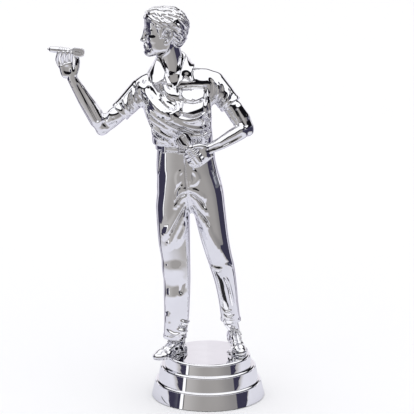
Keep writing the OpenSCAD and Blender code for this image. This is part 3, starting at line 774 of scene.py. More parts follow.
SHIRT_FOLDS = [
    # a fan from the right armpit across the breast and the belly
    ([(-22.4, 93), (-19, 88.8), (-15.4, 85), (-11.6, 82)], 1.15, 1.9, 2.0),
    ([(-18.6, 92.4), (-16.4, 89.4), (-13.6, 86.8)], 0.95, 1.3, 1.4),
    ([(-21.4, 89.4), (-18.6, 86), (-14.6, 82.8)], -0.8, 0.6, 0.7),
    ([(-19.6, 91.6), (-17.2, 88), (-13.6, 84.6)], -0.7, 0.5, 0.6),
    ([(-16.4, 91), (-14.6, 88.6), (-12.6, 86.9)], -0.6, 0.5, 0.5),
    ([(-21, 87.4), (-18.6, 84.2), (-14.6, 81), (-10, 78.6), (-6, 77)], 0.65, 0.8, 1.0),
    ([(-20.8, 85.6), (-18.2, 82.6), (-14, 79.6), (-9.4, 77.4)], -0.55, 0.5, 0.7),
    ([(-20.6, 84), (-18, 81.4), (-13.4, 78.4), (-8.6, 76.2)], 0.65, 0.75, 0.9),
    ([(-19.8, 81.6), (-17.4, 79.6), (-13.2, 77), (-9.6, 75.6)], -0.5, 0.45, 0.6),
    ([(-19.6, 80), (-17.2, 78), (-13.6, 75.9), (-10.4, 75)], 0.6, 0.65, 0.8),
    ([(-19, 77.6), (-16.4, 76), (-13.2, 75)], -0.45, 0.4, 0.6),
    ([(-18.8, 76.2), (-16, 74.5), (-12.4, 73.8)], 0.5, 0.6, 0.8),
    # from the placket's end to the pocket
    ([(-15, 93), (-13, 90.7), (-10.4, 89.7), (-8.8, 89.6)], 0.5, 1.5, 1.9),
    ([(-15.6, 92.2), (-14, 89.4), (-11.8, 88), (-9.2, 87.4)], -0.6, 0.5, 0.6),
    ([(-13.6, 88), (-12, 86.8), (-11.4, 84.6), (-11.6, 82.8)], -0.7, 0.5, 0.5),
    ([(-14.4, 87.6), (-12.8, 86.2), (-12.6, 84)], 0.6, 0.6, 0.6),
    ([(-10.6, 88), (-10, 85.4), (-9.8, 83.4)], 0.4, 0.6, 0.8),
    ([(-15.6, 86.8), (-13.4, 85.8), (-11.8, 84)], 0.4, 1.4, 1.7),
    # under the pocket and along the left side
    ([(-11.6, 83.4), (-8.8, 81.9), (-5.4, 81.4), (-2.2, 82.4)], 0.35, 0.6, 1.0),
    ([(-16.2, 83), (-12, 80.4), (-7.4, 78.4), (-2.6, 77.8)], -0.4, 0.4, 0.6),
    ([(-11, 81.4), (-6.8, 79.4), (-2.6, 78.4), (0.4, 79.4)], 0.5, 0.6, 0.8),
    ([(-8, 79), (-4.6, 77.2), (-1.4, 76.6)], -0.45, 0.4, 0.6),
    ([(-8.6, 77.6), (-5.4, 76), (-2, 75.8), (0.8, 76.8)], 0.55, 0.55, 0.7),
    ([(-0.8, 91), (0, 87.6), (0.4, 83.4), (0.2, 80)], 0.55, 0.7, 0.9),
    ([(-1.1, 83.4), (-0.4, 81), (0.4, 78)], -0.5, 0.45, 0.6),
    ([(0.8, 88.6), (1.2, 85), (1.1, 81)], -0.45, 0.45, 0.6),
    # short creases at both sides and on the belly
    ([(-19, 82.6), (-17.8, 80.4), (-16.4, 79.4)], -0.8, 0.5, 0.45),
    ([(-18.8, 79.8), (-17.4, 78), (-15.8, 77.2)], -0.8, 0.5, 0.45),
    ([(-18.4, 77.2), (-16.8, 75.8), (-15.2, 75.2)], -0.7, 0.45, 0.4),
    ([(-14.8, 79.4), (-13.2, 78.7), (-11.6, 79)], 0.6, 0.7, 0.5),
    ([(-5, 76.6), (-3.4, 76.2), (-2, 76.6)], 0.6, 0.6, 0.45),
    ([(-1.8, 79), (-0.4, 77.4), (0.9, 77)], -0.7, 0.45, 0.4),
    ([(-2.4, 76.9), (-0.8, 75.4), (0.8, 75.2)], -0.7, 0.45, 0.4),
    ([(-1.6, 82.6), (-0.2, 81), (0.9, 80.8)], -0.6, 0.45, 0.4),
    # gathered over the belt
    ([(-17.4, 74.6), (-15.4, 73.2), (-13.8, 72.8)], 0.45, 0.45, 0.6),
    ([(-14.6, 75.4), (-13.2, 73.6), (-12.6, 72.4)], 0.5, 0.45, 0.5),
    ([(-13.6, 75.6), (-12.2, 74), (-11.6, 72.4)], -0.45, 0.35, 0.45),
    ([(-12.6, 75.8), (-11.2, 74), (-10.8, 72.4)], 0.5, 0.45, 0.5),
    ([(-10.8, 76), (-9.8, 74.4), (-9.6, 72.6)], -0.45, 0.35, 0.45),
    ([(-9.8, 76.4), (-8.8, 74.4), (-8.6, 72.6)], 0.5, 0.45, 0.5),
    ([(-8, 76), (-7.2, 74.4), (-7.2, 72.8)], -0.4, 0.35, 0.45),
    ([(-6.6, 75.8), (-6, 74.2), (-6.2, 72.8)], 0.45, 0.45, 0.5),
    ([(-4.6, 75.4), (-4.2, 74), (-4.6, 72.8)], -0.35, 0.35, 0.45),
    ([(-3, 75.2), (-2.6, 73.8), (-3, 72.6)], 0.4, 0.45, 0.5),
    ([(-0.6, 75), (-0.4, 73.8), (-0.8, 72.8)], 0.35, 0.45, 0.5),
]
SLEEVE_FOLDS = [
    # right sleeve
    ([(-20.6, 94.2), (-21.4, 91), (-21, 88), (-20, 86)], -0.45, 0.4, 0.7),
    ([(-21.6, 93), (-22.8, 90.6), (-22.4, 88)], 0.6, 0.6, 0.7),
    ([(-23.2, 92.4), (-23.4, 89.8), (-22.4, 87)], -0.5, 0.45, 0.6),
    ([(-24.6, 90.4), (-24.4, 87.6), (-22.8, 85.2)], 0.6, 0.6, 0.7),
    ([(-25.8, 89.2), (-25.6, 86.4), (-24, 84)], -0.5, 0.45, 0.6),
    ([(-27.6, 87.4), (-26.8, 84.6), (-25.2, 82.4)], 0.5, 0.55, 0.7),
    ([(-29, 85.8), (-28, 83), (-26.6, 81)], -0.4, 0.4, 0.6),
    # left sleeve
    ([(0.4, 94.6), (1.6, 92), (1.4, 88.6), (0.8, 86)], -0.45, 0.4, 0.7),
    ([(2.6, 93.4), (3.4, 90.8), (2.6, 88)], 0.6, 0.6, 0.7),
    ([(4.6, 92), (4.6, 89.6), (3.4, 87), (1.8, 85.6)], -0.6, 0.5, 0.6),
    ([(6.2, 90.8), (6.6, 88.4), (5, 85.6), (3, 84.6)], 0.6, 0.6, 0.7),
    ([(8, 89), (7.6, 86.6), (5.8, 84.4)], -0.5, 0.4, 0.6),
    ([(9.4, 87.6), (9.2, 85.8), (7.8, 83.8)], 0.4, 0.45, 0.6),
]
BACK_FOLDS = [
    ([(-20.6, 88), (-16, 85), (-11, 84.2), (-6, 85), (-0.4, 88)], -0.4, 0.9, 1.6),
    ([(-20.6, 84.6), (-16, 81.4), (-10.6, 80.2), (-5, 80.6)], 0.5, 0.9, 1.3),
    ([(0.4, 84.4), (-3.6, 81), (-8.6, 78.4), (-13.4, 77.6)], 0.5, 0.9, 1.3),
    ([(-19.2, 79.6), (-15, 77), (-10.6, 75.6)], -0.45, 0.6, 0.9),
    ([(0.8, 79), (-2.6, 76.6), (-6.6, 75.4)], -0.45, 0.6, 0.9),
    ([(-18.4, 77), (-14.8, 75), (-11.8, 73.6)], 0.45, 0.6, 0.8),
    ([(0.8, 76.6), (-1.8, 74.8), (-4.6, 73.6)], 0.45, 0.6, 0.8),
    ([(-9.4, 76), (-9, 74.2), (-9.2, 72.6)], 0.4, 0.5, 0.6),
    ([(-12.6, 75.6), (-12.2, 74), (-12.4, 72.6)], -0.4, 0.4, 0.5),
    ([(-6, 75.6), (-6.2, 74), (-6, 72.6)], -0.4, 0.4, 0.5),
    ([(-24.4, 88.6), (-22.6, 86), (-21.2, 83.6)], 0.45, 0.6, 0.8),
    ([(-26.8, 86.4), (-25, 83.6), (-23.8, 82)], -0.4, 0.5, 0.7),
    ([(3.4, 90), (2.4, 87), (1, 84.6)], 0.45, 0.6, 0.8),
    ([(6, 88), (5, 85.4), (3.4, 84)], -0.4, 0.5, 0.7),
]
LEFT_LEAF = [(-16.9, 100.9), (-19.3, 96.2), (-18.2, 92.7), (-14.5, 94.8), (-14, 96.8), (-15.9, 100.9)]
RIGHT_LEAF = [(-7.3, 101.6), (-4, 98.9), (-5.4, 96.4), (-5.1, 93.9), (-7.6, 94.9), (-9.2, 94),
              (-10.8, 91.6), (-10.2, 93.6), (-8.6, 98.4)]
OPENING = [(-16.2, 101), (-14.1, 96.8), (-10.9, 91.4), (-9.6, 94.8), (-8, 101), (-8, 106), (-16.2, 106)]
PLACKET = [(-14.4, 96), (-13.4, 96.4), (-10.9, 91.8), (-11.6, 90), (-12.6, 90.4)]
COLLAR = [(93.6, -11.7, 3.3, 9.3, 8.4), (95.6, -11.75, 3.3, 8.3, 7.4), (97.6, -11.9, 3.2, 7.0, 6.3),
          (99.8, -12.0, 3.1, 5.6, 5.1), (102.4, -12.1, 3.1, 4.5, 4.1)]
POCKET = [(-8.5, 87.6), (-1.3, 87.8), (-1.4, 84.4), (-4.9, 83.5), (-8.4, 84.2)]
FLAP = [(-8.8, 91.2), (-1.1, 91.4), (-1.1, 88.6), (-4.9, 87.6), (-8.7, 88.4)]
# Creases round the pocket and its flap: (x, z) points and rise.
POCKET_CREASES = [
    ([(-9, 91.6), (-4.9, 91.8), (-0.9, 91.6)], -0.45),
    ([(-8.8, 88), (-4.9, 87.1), (-0.9, 88.2)], -0.8),
    ([(-8.9, 88), (-8.7, 84)], -0.6),
    ([(-0.8, 91.4), (-0.9, 88), (-1, 84.4)], -0.7),
    ([(-8.6, 83.9), (-4.9, 83), (-1.1, 84.1)], -0.7),
    ([(-9.1, 91.2), (-9, 88.2)], -0.6),
]
# Broad hollows between the folds on the right breast.
HOLLOWS = [
    ([(-19.8, 91.6), (-17.7, 89.7), (-16, 87.4), (-14, 84.8)], -0.5, 1.5, 1.0),
    ([(-13.4, 89.6), (-12, 88.6), (-9.4, 87.8)], -0.14, 1.8, 1.5),
    ([(-14.2, 87.4), (-12.6, 85.4), (-12.2, 83.6)], -0.45, 1.0, 1.0),
]
YOKE_SEAM = [(-21.8, 90.4), (-15, 91.6), (-10.4, 91.9), (-5, 91.7), (0.8, 90.8)]
# Creases along the edges of the collar's two leaves.
LEAF_EDGES = [[(-18.9, 95.8), (-18, 92.9), (-14.6, 95)],
              [(-4.4, 98.6), (-5.6, 96.4), (-5.4, 94.2), (-7.6, 95.1)]]
# The folds on the front of the shirt were drawn shallower and are all raised by this factor.
FRONT_RELIEF = 1.25


def torso_clay():
    """The shirt before its details, which the chest under the open collar also follows."""
    c = Clay()
    c.add(loft(TORSO, 2.25))
    c.add(chain(*YOKE), 2.6)
    for x in (-15.6, -5.2):
        c.add(ball((x, -3.1, 84.8), (4.7, 4.0, 4.9)), 2.2)
        c.add(ball((x, 6.4, 90.4), (5.2, 3.0, 4.6)), 2.4)
    c.add(chain(*RIGHT_SLEEVE), 1.6)
    c.add(chain(*LEFT_SLEEVE), 1.6)
    return c


def shirt_clay():
    c = torso_clay()
    base = c.copy()
    folds(c, base, SHIRT_FOLDS + SLEEVE_FOLDS, relief=FRONT_RELIEF)
    folds(c, base, BACK_FOLDS, side=1)
    fold(c, base, YOKE_SEAM, -0.22, 0.2, 0.25, 1, (1, 1))
    # breast pocket, its flap and its button
    filled = c.copy()
    c.add(panel(filled, POCKET, 0.15, 0.4, lean=0.28), 0.3)
    c.add(panel(filled, FLAP, 0.5, 0.6), 0.4)
    for path, rise in POCKET_CREASES:
        fold(c, base, path, rise, 0.45, 0.5, ends=(1, 1))
    c.add(ball((-4.9, filled.on(-4.9, 88.4)[0] - 0.7, 88.4), (0.42, 0.3, 0.42)), 0.08)
    folds(c, filled, HOLLOWS)
    # sleeves end in turned hems
    for (middle, out), r in ((RIGHT_HEM, 3.55), (LEFT_HEM, 3.85)):
        c.add(chain([middle - out * 0.5, middle], [r, r - 0.05]), 0.3)
        c.keep(Shape(hem_limit(middle, out), *ENDLESS), 0.25)
        c.cut(chain([middle - out * 0.2, middle + out * 6], [r - 0.75, r - 0.75]), 0.2)
        c.cut(Shape(ring_at(middle - out * 1.3, out, r + 0.12, 0.16), middle - 6, middle + 6), 0.15)
    # collar, placket and the opening between them
    collar = Clay().add(loft(COLLAR, 2.1))
    collar.keep(half_space((-12, 3, 101.4), (0, -0.33, 1)), 0.5)
    collar.keep(half_space((-12, -1.6, 97), (0, -1, 0.68)), 0.4)
    c.add(collar.shape(), 0.12)
    lined = base.copy().add(collar.shape(), 0.8)
    for leaf in (LEFT_LEAF, RIGHT_LEAF):
        c.add(panel(lined, leaf, 0.6, 0.3, lean=0.09), 0.1)
    c.cut(ball((-6.6, lined.on(-6.6, 96.8)[0] - 2.44, 96.4), (2.4, 1.3, 2.0)), 0.9)
    for edge in LEAF_EDGES:
        fold(c, lined, edge, -0.3, 0.25, 0.25, ends=(1, 1))
    c.add(panel(lined, PLACKET, 0.5, 0.3), 0.12)
    c.cut(opening_shape(lined), 0.25)
    c.cut(chain(NECK[0] + [(-13.8, 2.7, 107)], [r + 0.25 for r in NECK[1]] + [4.2]), 0.3)
    c.keep(half_space((0, 0, 71.7), (0, 0, -1)), 0.3)
    return c


def hem_limit(middle, out):
    """Everything up to a plane across the sleeve, but only near it."""
    def distance(p):
        q = p - middle.astype(np.float32)
        along = q @ out.astype(np.float32)
        beside = np.sqrt(np.maximum((q * q).sum(1) - along ** 2, 0)) - HEM_REACH
        return np.where(beside < 0, along, -5).astype(np.float32)
    return distance


def ring_at(middle, out, radius, r):
    """A thin ring round an axis."""
    def distance(p):
        q = p - middle.astype(np.float32)
        along = q @ out.astype(np.float32)
        round_ = np.sqrt(np.maximum((q * q).sum(1) - along ** 2, 0)) - radius
        return np.sqrt(round_ ** 2 + along ** 2) - r
    return distance


def opening_shape(base):
    """The open neck: everything in front of the neck inside the outline, down to the skin."""
    o = np.array(OPENING, np.float32)

    def distance(p):
        flat = outline_distance(o, p[:, (0, 2)])
        depth = -(base.distance(p, 4) + 1.5)
        return np.maximum(np.maximum(flat, depth), p[:, 1] - 2)

    return Shape(distance, (-17, -12, 91), (-7, 2, 106))


# ---------------- head
# Local frame: a forward along the gaze, b to the figure's left, c up.
TO_HEAD, FROM_HEAD = frame_axes((-14.5, 2.6, 109.8), (-0.99, -0.139, 0))
# The hair's lower edge: its height over each a.
HAIRLINE = ([-9, -3.1, -2.6, -1.9, -1.2, 0.9, 1.1, 2.3, 2.9, 4.2, 5.4, 9],
            [-5.6, -5.6, -3.8, -0.2, 1.3, 1.3, -2.4, -2.2, 0.8, 2.6, 3.9, 3.5])


def across(points):
    """Points from one side of the face to the other: the given ones, then their mirror image."""
    return points + [(a, -b, c) for a, b, c in points[::-1] if b]


def head_clay():
    c = Clay()
    c.add(ball((-0.7, 0, 1.3), (6.5, 5.2, 5.9)))
    c.add(ball((2.4, 0, -1.4), (4.1, 4.3, 5.2)), 2.0)
    c.add(ball((3.2, 0, 3), (3.3, 4.1, 3.3)), 1.5)
    # jaw, chin and cheekbones
    for s in (-1, 1):
        jaw = [(-0.9, 4.0 * s, -3.2), (0.2, 3.75 * s, -5.3), (4.9, 1.2 * s, -7.4)]
        c.add(chain(jaw, [1.1, 1.25, 1.15]), 1.6)
        c.add(ball((3.9, 3.1 * s, -2.3), (1.6, 1.3, 1.1)), 1.6)
        c.add(ball((2.2, 3.6 * s, -4.2), (2.2, 0.9, 2.0)), 1.6)
    c.add(ball((2.6, 0, -5.4), (3.2, 3.2, 2.2)), 2.0)
    c.add(ball((5.4, 0, -7.1), (1.05, 1.25, 1.0)), 1.2)
    # brows, sockets, eyes and lids
    for s in (-1, 1):
        brow = [(6.0, 0.7 * s, 0.15), (5.8, 2.0 * s, 0.62), (4.4, 3.6 * s, 0.15)]
        c.add(chain(brow, [0.5, 0.6, 0.45]), 0.8)
        c.cut(ball((6.75, 1.95 * s, -0.85), (1.25, 1.4, 0.9)), 0.8)
        c.add(ball((4.85, 1.95 * s, -0.85), (1.12, 1.25, 0.92)), 0.15)
        lid = [(5.5, 0.8 * s, -1.0), (6.05, 1.4 * s, -0.42), (6.0, 2.3 * s, -0.36), (5.0, 3.25 * s, -0.9)]
        c.add(chain(eased(lid, 3), [0.12, 0.16, 0.2, 0.24, 0.25, 0.25, 0.22, 0.18, 0.15, 0.12]), 0.15)
        under = [(5.5, 0.8 * s, -1.04), (5.95, 1.6 * s, -1.46), (5.75, 2.5 * s, -1.42),
                 (5.0, 3.25 * s, -1.0)]
        c.add(chain(eased(under, 3), 0.13), 0.18)
        c.cut(ball((6.02, 1.9 * s, -0.87), (0.16, 0.22, 0.22)), 0.08)
        crease = [(6.2, 1.0 * s, 0.0), (6.1, 1.9 * s, 0.1), (5.4, 3.0 * s, -0.2)]
        c.cut(chain(crease, [0.1, 0.15, 0.1]), 0.25)
    # nose
    c.add(chain([(6.05, 0, 0.1), (6.6, 0, -1.4), (7.05, 0, -2.8)], [0.48, 0.5, 0.58]), 0.8)
    c.add(ball((7.1, 0, -3.15), (0.7, 0.66, 0.6)), 0.45)
    for s in (-1, 1):
        c.add(ball((6.45, 0.72 * s, -3.4), (0.68, 0.45, 0.5)), 0.35)
        c.cut(ball((6.75, 0.42 * s, -3.85), (0.34, 0.2, 0.2)), 0.15)
    # mouth: both lips, the line between them, and the hollows round them
    c.add(ball((5.7, 0, -5.2), (1.05, 1.9, 1.25)), 1.0)
    c.add(chain(across([(5.85, -1.45, -5.12), (6.5, -0.45, -4.92), (6.56, 0, -5.0)]),
                [0.14, 0.27, 0.25, 0.27, 0.14]), 0.25)
    c.add(chain(across([(5.85, -1.35, -5.3), (6.4, -0.5, -5.6)]), [0.14, 0.3, 0.3, 0.14]), 0.3)
    c.cut(chain(across([(5.95, -1.5, -5.2), (6.7, -0.6, -5.24), (6.78, 0, -5.28)]),
                [0.08, 0.12, 0.12, 0.12, 0.08]), 0.15)
    c.cut(ball((6.7, 0, -6.25), (0.5, 0.9, 0.3)), 0.5)
    c.cut(chain([(7.05, 0, -4.1), (6.95, 0, -4.65)], [0.16, 0.2]), 0.35)
    for s in (-1, 1):
        cheek = [(6.3, 1.25 * s, -3.7), (5.7, 1.9 * s, -4.7), (5.2, 2.2 * s, -5.5)]
        c.cut(chain(cheek, [0.14, 0.18, 0.1]), 0.6)
        c.add(ear_clay(s).shape(6), 0.25)
    # neck, with the muscle from behind the ear to the collarbone, and the chest under the open shirt
    corners = TO_HEAD(np.array([(-19, -7, 88), (-4, 9, 106)]))
    c.add(chain(TO_HEAD(NECK[0]), NECK[1]), 1.4)
    c.add(chain(TO_HEAD([(-12.4, 5.8, 103.6), (-12.4, -0.7, 95.2)]), [0.4, 0.5]), 1.8)
    c.add(ball(TO_HEAD([(-16.2, 1.9, 101.6)])[0], (0.7, 0.7, 0.9)), 0.9)
    torso = torso_clay()

    def chest(p):
        q = FROM_HEAD(p)
        return np.maximum(torso.distance(q, 6) + 0.95, 93.0 - q[:, 2] - 3.4)

    c.add(Shape(chest, corners.min(0) - 2, corners.max(0) + 2), 1.0)
    c.keep(Shape(lambda p: chest_limit(FROM_HEAD(p)), *ENDLESS), 0.2)
    hair(c)
    c.keep(half_space((0, 0, 7.75), (0, 0, 1)), 0.3)
    return c


def chest_limit(q):
    """Keeps the skin to the neck and the open collar."""
    beside = np.abs(q[:, 0] + 11.6) - (3.2 + 0.4 * np.maximum(q[:, 2] - 91.5, 0))
    low = 90.9 - q[:, 2]
    return np.where(q[:, 2] < 101, np.maximum(beside, low), -3).astype(np.float32)


def ear_clay(s):
    """One ear: a tilted dish with a rim, a fold inside the rim, a lobe and the flap before the canal."""
    ear = Clay()
    ear.add(ball((-0.4, 5.0 * s, -1.3), (2.5, 0.75, 1.5), turned((0.16, 0.1 * s, 1), (1, 0, 0))[[0, 2, 1]]))
    rim = eased([(0.85, 4.9 * s, -0.7), (0.8, 5.6 * s, 0.5), (0, 6.1 * s, 1.2), (-1.1, 6.35 * s, 1.05),
                 (-1.9, 6.4 * s, 0.1), (-1.9, 6.25 * s, -1.3), (-1.25, 5.95 * s, -2.7),
                 (-0.5, 5.5 * s, -3.6)], 4)
    ear.add(chain(rim, np.linspace(0.3, 0.4, len(rim))), 0.15)
    inner = eased([(-0.3, 5.75 * s, 0.3), (-1.0, 5.95 * s, -0.5), (-0.95, 5.85 * s, -1.7),
                   (-0.3, 5.5 * s, -2.4)], 4)
    ear.add(chain(inner, 0.22), 0.15)
    ear.add(ball((0.05, 5.35 * s, -3.5), (0.75, 0.5, 0.75)), 0.35)
    ear.add(ball((0.85, 5.25 * s, -1.6), (0.34, 0.34, 0.6)), 0.2)
    ear.cut(ball((0.1, 5.9 * s, -1.3), (0.55, 0.65, 0.9)), 0.15)
    return ear


def hair_limit(p):
    """Below zero above the hairline."""
    edge = np.interp(p[:, 0], *HAIRLINE)
    return ((edge - p[:, 2]) * 0.75).astype(np.float32)


def hair(c):
    """A swept-back head of hair: a cap, then locks along lines from the brow to the nape."""
    cap = Clay()
    cap.add(ball((-0.9, 0, 1.5), (7.0, 5.65, 5.95)))
    cap.add(ball((2.6, 0, 3.9), (4.2, 4.4, 3.2)), 1.6)
    cap.add(ball((-3.9, 0, -2.6), (2.9, 4.0, 3.2)), 1.6)
    for s in (1, -1):
        cap.add(chain([(1.7, 4.35 * s, 1.2), (1.7, 4.55 * s, -1.6)], [0.9, 0.5]), 0.8)
    cap.keep(Shape(hair_limit, *ENDLESS), 0.35)
    c.add(cap.shape(6), 0.15)
    # the locks run like meridians from a pole above the brow, in rows of bearings either side of the top
    pole = np.array((0.84, 0, 0.54))
    sideways = np.array((0, 1, 0))
    top = np.array((-0.54, 0, 0.84))
    centre = np.array((-0.7, 0, 1.0))
    rng = np.random.default_rng(11)
    rows, widest = 23, 156
    for row in range(rows):
        bearing = math.radians(-widest + 2 * widest * row / (rows - 1))
        start = 10 + (row % 3) * 7
        while start < 168:
            length = rng.uniform(22, 34)
            sway = rng.uniform(-9, 9)
            bend = rng.uniform(-8, 8)
            path = []
            for t in np.linspace(0, 1, 6):
                turn = math.radians(start + length * t)
                drift = math.radians(sway * t + bend * math.sin(math.pi * t))
                side = bearing + drift / max(math.sin(turn), 0.3)
                ray = (math.cos(turn) * pole
                       + math.sin(turn) * (math.cos(side) * top + math.sin(side) * sideways))
                path.append(surface_along(cap, centre, ray))
            path = np.array(path, np.float32)
            if np.isfinite(path).all() and (hair_limit(path) < -0.25).all():
                thick = rng.uniform(0.5, 0.74)
                profile = thick * np.array([0.35, 0.8, 1.0, 0.95, 0.7, 0.25])
                lift = rng.uniform(0.12, 0.46)
                away = path - centre
                away /= np.linalg.norm(away, axis=1)[:, None]
                c.add(chain(path + away * (lift - profile[:, None] * 0.55), profile), 0.12)
            start += length * rng.uniform(0.5, 0.62)


def surface_along(clay, start, ray):
    """Where a ray from inside leaves the clay, or nothing where it left through the hairline."""
    reach = np.arange(2, 11, 0.15)
    points = (start + reach[:, None] * ray).astype(np.float32)
    inside = clay.distance(points, 12) < 0
    if not inside.any():
        return np.full(3, np.nan)
    return points[np.flatnonzero(inside)[-1]]


# ---------------- arms
# How the throwing hand's palm is turned.
PALM = turned((0.94, 0, 0.34))
# The throwing hand's fingers up to the dart: their points and radius.
FINGERS = [
    ([(-48.5, -0.9, 98.4), (-49.3, -1.4, 100.4), (-49.1, -2.2, 102.1), (-48.7, -2.5, 103.2)], 0.64),
    ([(-47.3, -0.8, 98.9), (-47.7, -1.6, 101), (-47.5, -2.4, 102.4), (-47.2, -2.6, 103.3)], 0.68),
    ([(-46.0, -0.8, 99.2), (-46.2, -1.7, 101.3), (-46.0, -2.5, 102.6), (-45.8, -2.6, 103.3)], 0.7),
    ([(-44.8, -0.8, 99), (-44.7, -1.5, 101), (-44.6, -2.2, 102.3), (-44.6, -2.5, 103.1)], 0.66),
]


def throwing_arm_clay():
    c = Clay()
    c.add(chain([(-27.6, 0.8, 84.4), (-29.5, 0.5, 82.4), (-32.4, 0.2, 79.8), (-34.7, 0.1, 77.9)],
                [2.75, 2.8, 2.7, 2.45]))
    c.add(chain([(-34.9, 0.1, 78.2), (-36.2, -0.1, 80.2), (-37.6, -0.1, 82.6), (-40.4, -0.3, 87),
                 (-43.2, -0.7, 92), (-44.5, -0.8, 94.4)], [2.35, 2.75, 2.75, 2.4, 1.95, 1.75]), 0.9)
    # biceps, the point of the elbow, and the forearm's two muscles
    c.add(ball((-31.2, -0.9, 81.6), (2.2, 2.0, 2.4)), 1.6)
    c.add(ball((-35.2, 0.7, 76.4), (1.5, 1.5, 1.4)), 1.2)
    c.add(chain([(-36.4, -1.2, 81), (-38.6, -1.1, 85.2), (-41.6, -1, 90.2)], [1.9, 1.8, 1.1]), 1.2)
    c.add(chain([(-36.9, 1.0, 79.8), (-40, 0.6, 85.8), (-42.8, 0.2, 91)], [1.9, 1.7, 1.1]), 1.2)
    c.cut(chain([(-36.4, -3.0, 80.8), (-38.8, -3.0, 85.6), (-42.4, -2.6, 92.4)], [0.55, 0.75, 0.4]), 0.6)
    c.cut(chain([(-30.6, -2.9, 79.6), (-32.8, -2.6, 78.4), (-34.2, -2.6, 79.6)], [0.3, 0.4, 0.3]), 1.0)
    # palm, its heels, and the wrist
    c.add(brick((-46.1, -0.9, 97.5), (2.3, 1.25, 2.3), PALM, 0.9), 1.2)
    c.add(ball((-44.7, -1.6, 96.3), (1.15, 0.95, 1.9), PALM), 0.7)
    c.add(ball((-47.3, -1.5, 96.3), (0.9, 0.8, 1.9), PALM), 0.6)
    c.cut(ball((-46.1, -2.7, 97.6), (1.3, 0.9, 1.7), PALM), 0.5)
    # four fingers up to the dart, the thumb behind it
    for path, r in FINGERS:
        c.add(swept(path, r, r * 0.82), 0.12)
    c.add(swept([(-43.7, -1.4, 96), (-42.9, -1.2, 98.6), (-42.9, -0.6, 101), (-43.8, -0.2, 103)],
                0.98, 0.72), 0.45)
    return c


def resting_arm_clay():
    c = Clay()
    c.add(chain([(6.6, 0.9, 86.2), (8.6, 0.5, 83.6), (10.6, 0, 80.6), (12.2, -0.5, 78)],
                [2.95, 3.0, 2.85, 2.5]))
    c.add(chain([(12.3, -0.8, 77.7), (10.6, -2.1, 76.8), (8, -3.5, 75.5), (4.2, -5.1, 73.5),
                 (0.9, -6.3, 72.2), (-0.8, -6.8, 71.8)], [2.35, 2.65, 2.5, 2.05, 1.75, 1.75]), 0.9)
    c.add(ball((13.2, -0.6, 76.6), (1.6, 1.6, 1.5)), 1.2)
    c.add(chain([(7.4, -0.6, 84.6), (9.2, -1.2, 81.4), (10.4, -1.6, 79.2)], [1.9, 2.0, 1.5]), 1.2)
    c.add(chain([(9.6, 0, 84.2), (11.8, -0.4, 81.2), (13, -0.6, 78.4)], [1.7, 1.9, 1.4]), 0.9)
    c.add(chain([(10.4, -3.9, 77.6), (6.8, -5, 75.6), (2.8, -6.2, 73.4)], [1.6, 1.5, 0.9]), 1.1)
    c.cut(chain([(10.8, -5.1, 76), (6.6, -6.2, 74), (2.6, -7.6, 72.3)], [0.35, 0.5, 0.3]), 0.9)
    c.cut(chain([(3.4, -7.5, 73.2), (0.6, -8.3, 72), (-1.6, -8.9, 71.4)], [0.4, 0.6, 0.4]), 0.8)
    c.cut(chain([(6.6, -2.7, 84), (8.8, -3.4, 80.6), (9.6, -3.6, 79)], [0.35, 0.45, 0.3]), 0.6)
    c.cut(chain([(9.6, -2.5, 84), (11.4, -2.9, 80.6), (12.2, -3, 79)], [0.3, 0.4, 0.3]), 0.6)
    # back of the hand and the fist, a roll for each finger, the thumb over the darts
    c.add(brick((-3, -7.2, 70.4), (2.9, 1.6, 2.3), turned((1, -0.1, 0.32)), 1.1), 1.0)
    c.add(chain([(-0.6, -7, 69.8), (-3, -7.6, 67.8), (-5.4, -8, 67.6)], [1.1, 1.3, 1.1]), 0.8)
    for i in range(4):
        x, z = -5.8 + 0.86 * i, 71.3 - 1.02 * i
        roll = [(x + 1.9, -7.8, z + 1.6), (x + 0.9, -9.0, z + 0.8), (x - 0.5, -9.3, z - 0.4),
                (x - 1.4, -8.3, z - 1.2)]
        c.add(swept(roll, 0.8, 0.66), 0.1)
        c.add(ball(roll[1], 0.84), 0.2)
    c.add(swept([(-0.8, -7.6, 72.6), (-2.8, -8.6, 73.4), (-5, -9.4, 73.2), (-6.8, -9.4, 72.4)],
                0.95, 0.66), 0.3)
    c.add(swept([(-6.6, -7.6, 69), (-4.6, -7.9, 66.6), (-1.6, -7.4, 67.8), (1, -6.6, 69.8)], 0.8, 0.8), 0.6)
    return c


# ---------------- shoes
# The shoe's plan, as parts of its length and half widths in mm. Past BALL_AT the sole lies flat, and a
# lifted heel rises behind it by a curve of the power BEND.
SHOE_PLAN = [(-0.02, 1.75), (0.12, 2.0), (0.3, 1.85), (0.48, 1.95), (0.66, 2.35), (0.82, 2.303),
             (0.94, 1.692), (1.0, 1.0575)]
BALL_AT, BEND = 0.62, 1.3
# How high the lace lies at each crossing.
LACE_TOPS = (4.5, 4.35, 4.1, 3.75, 3.4)


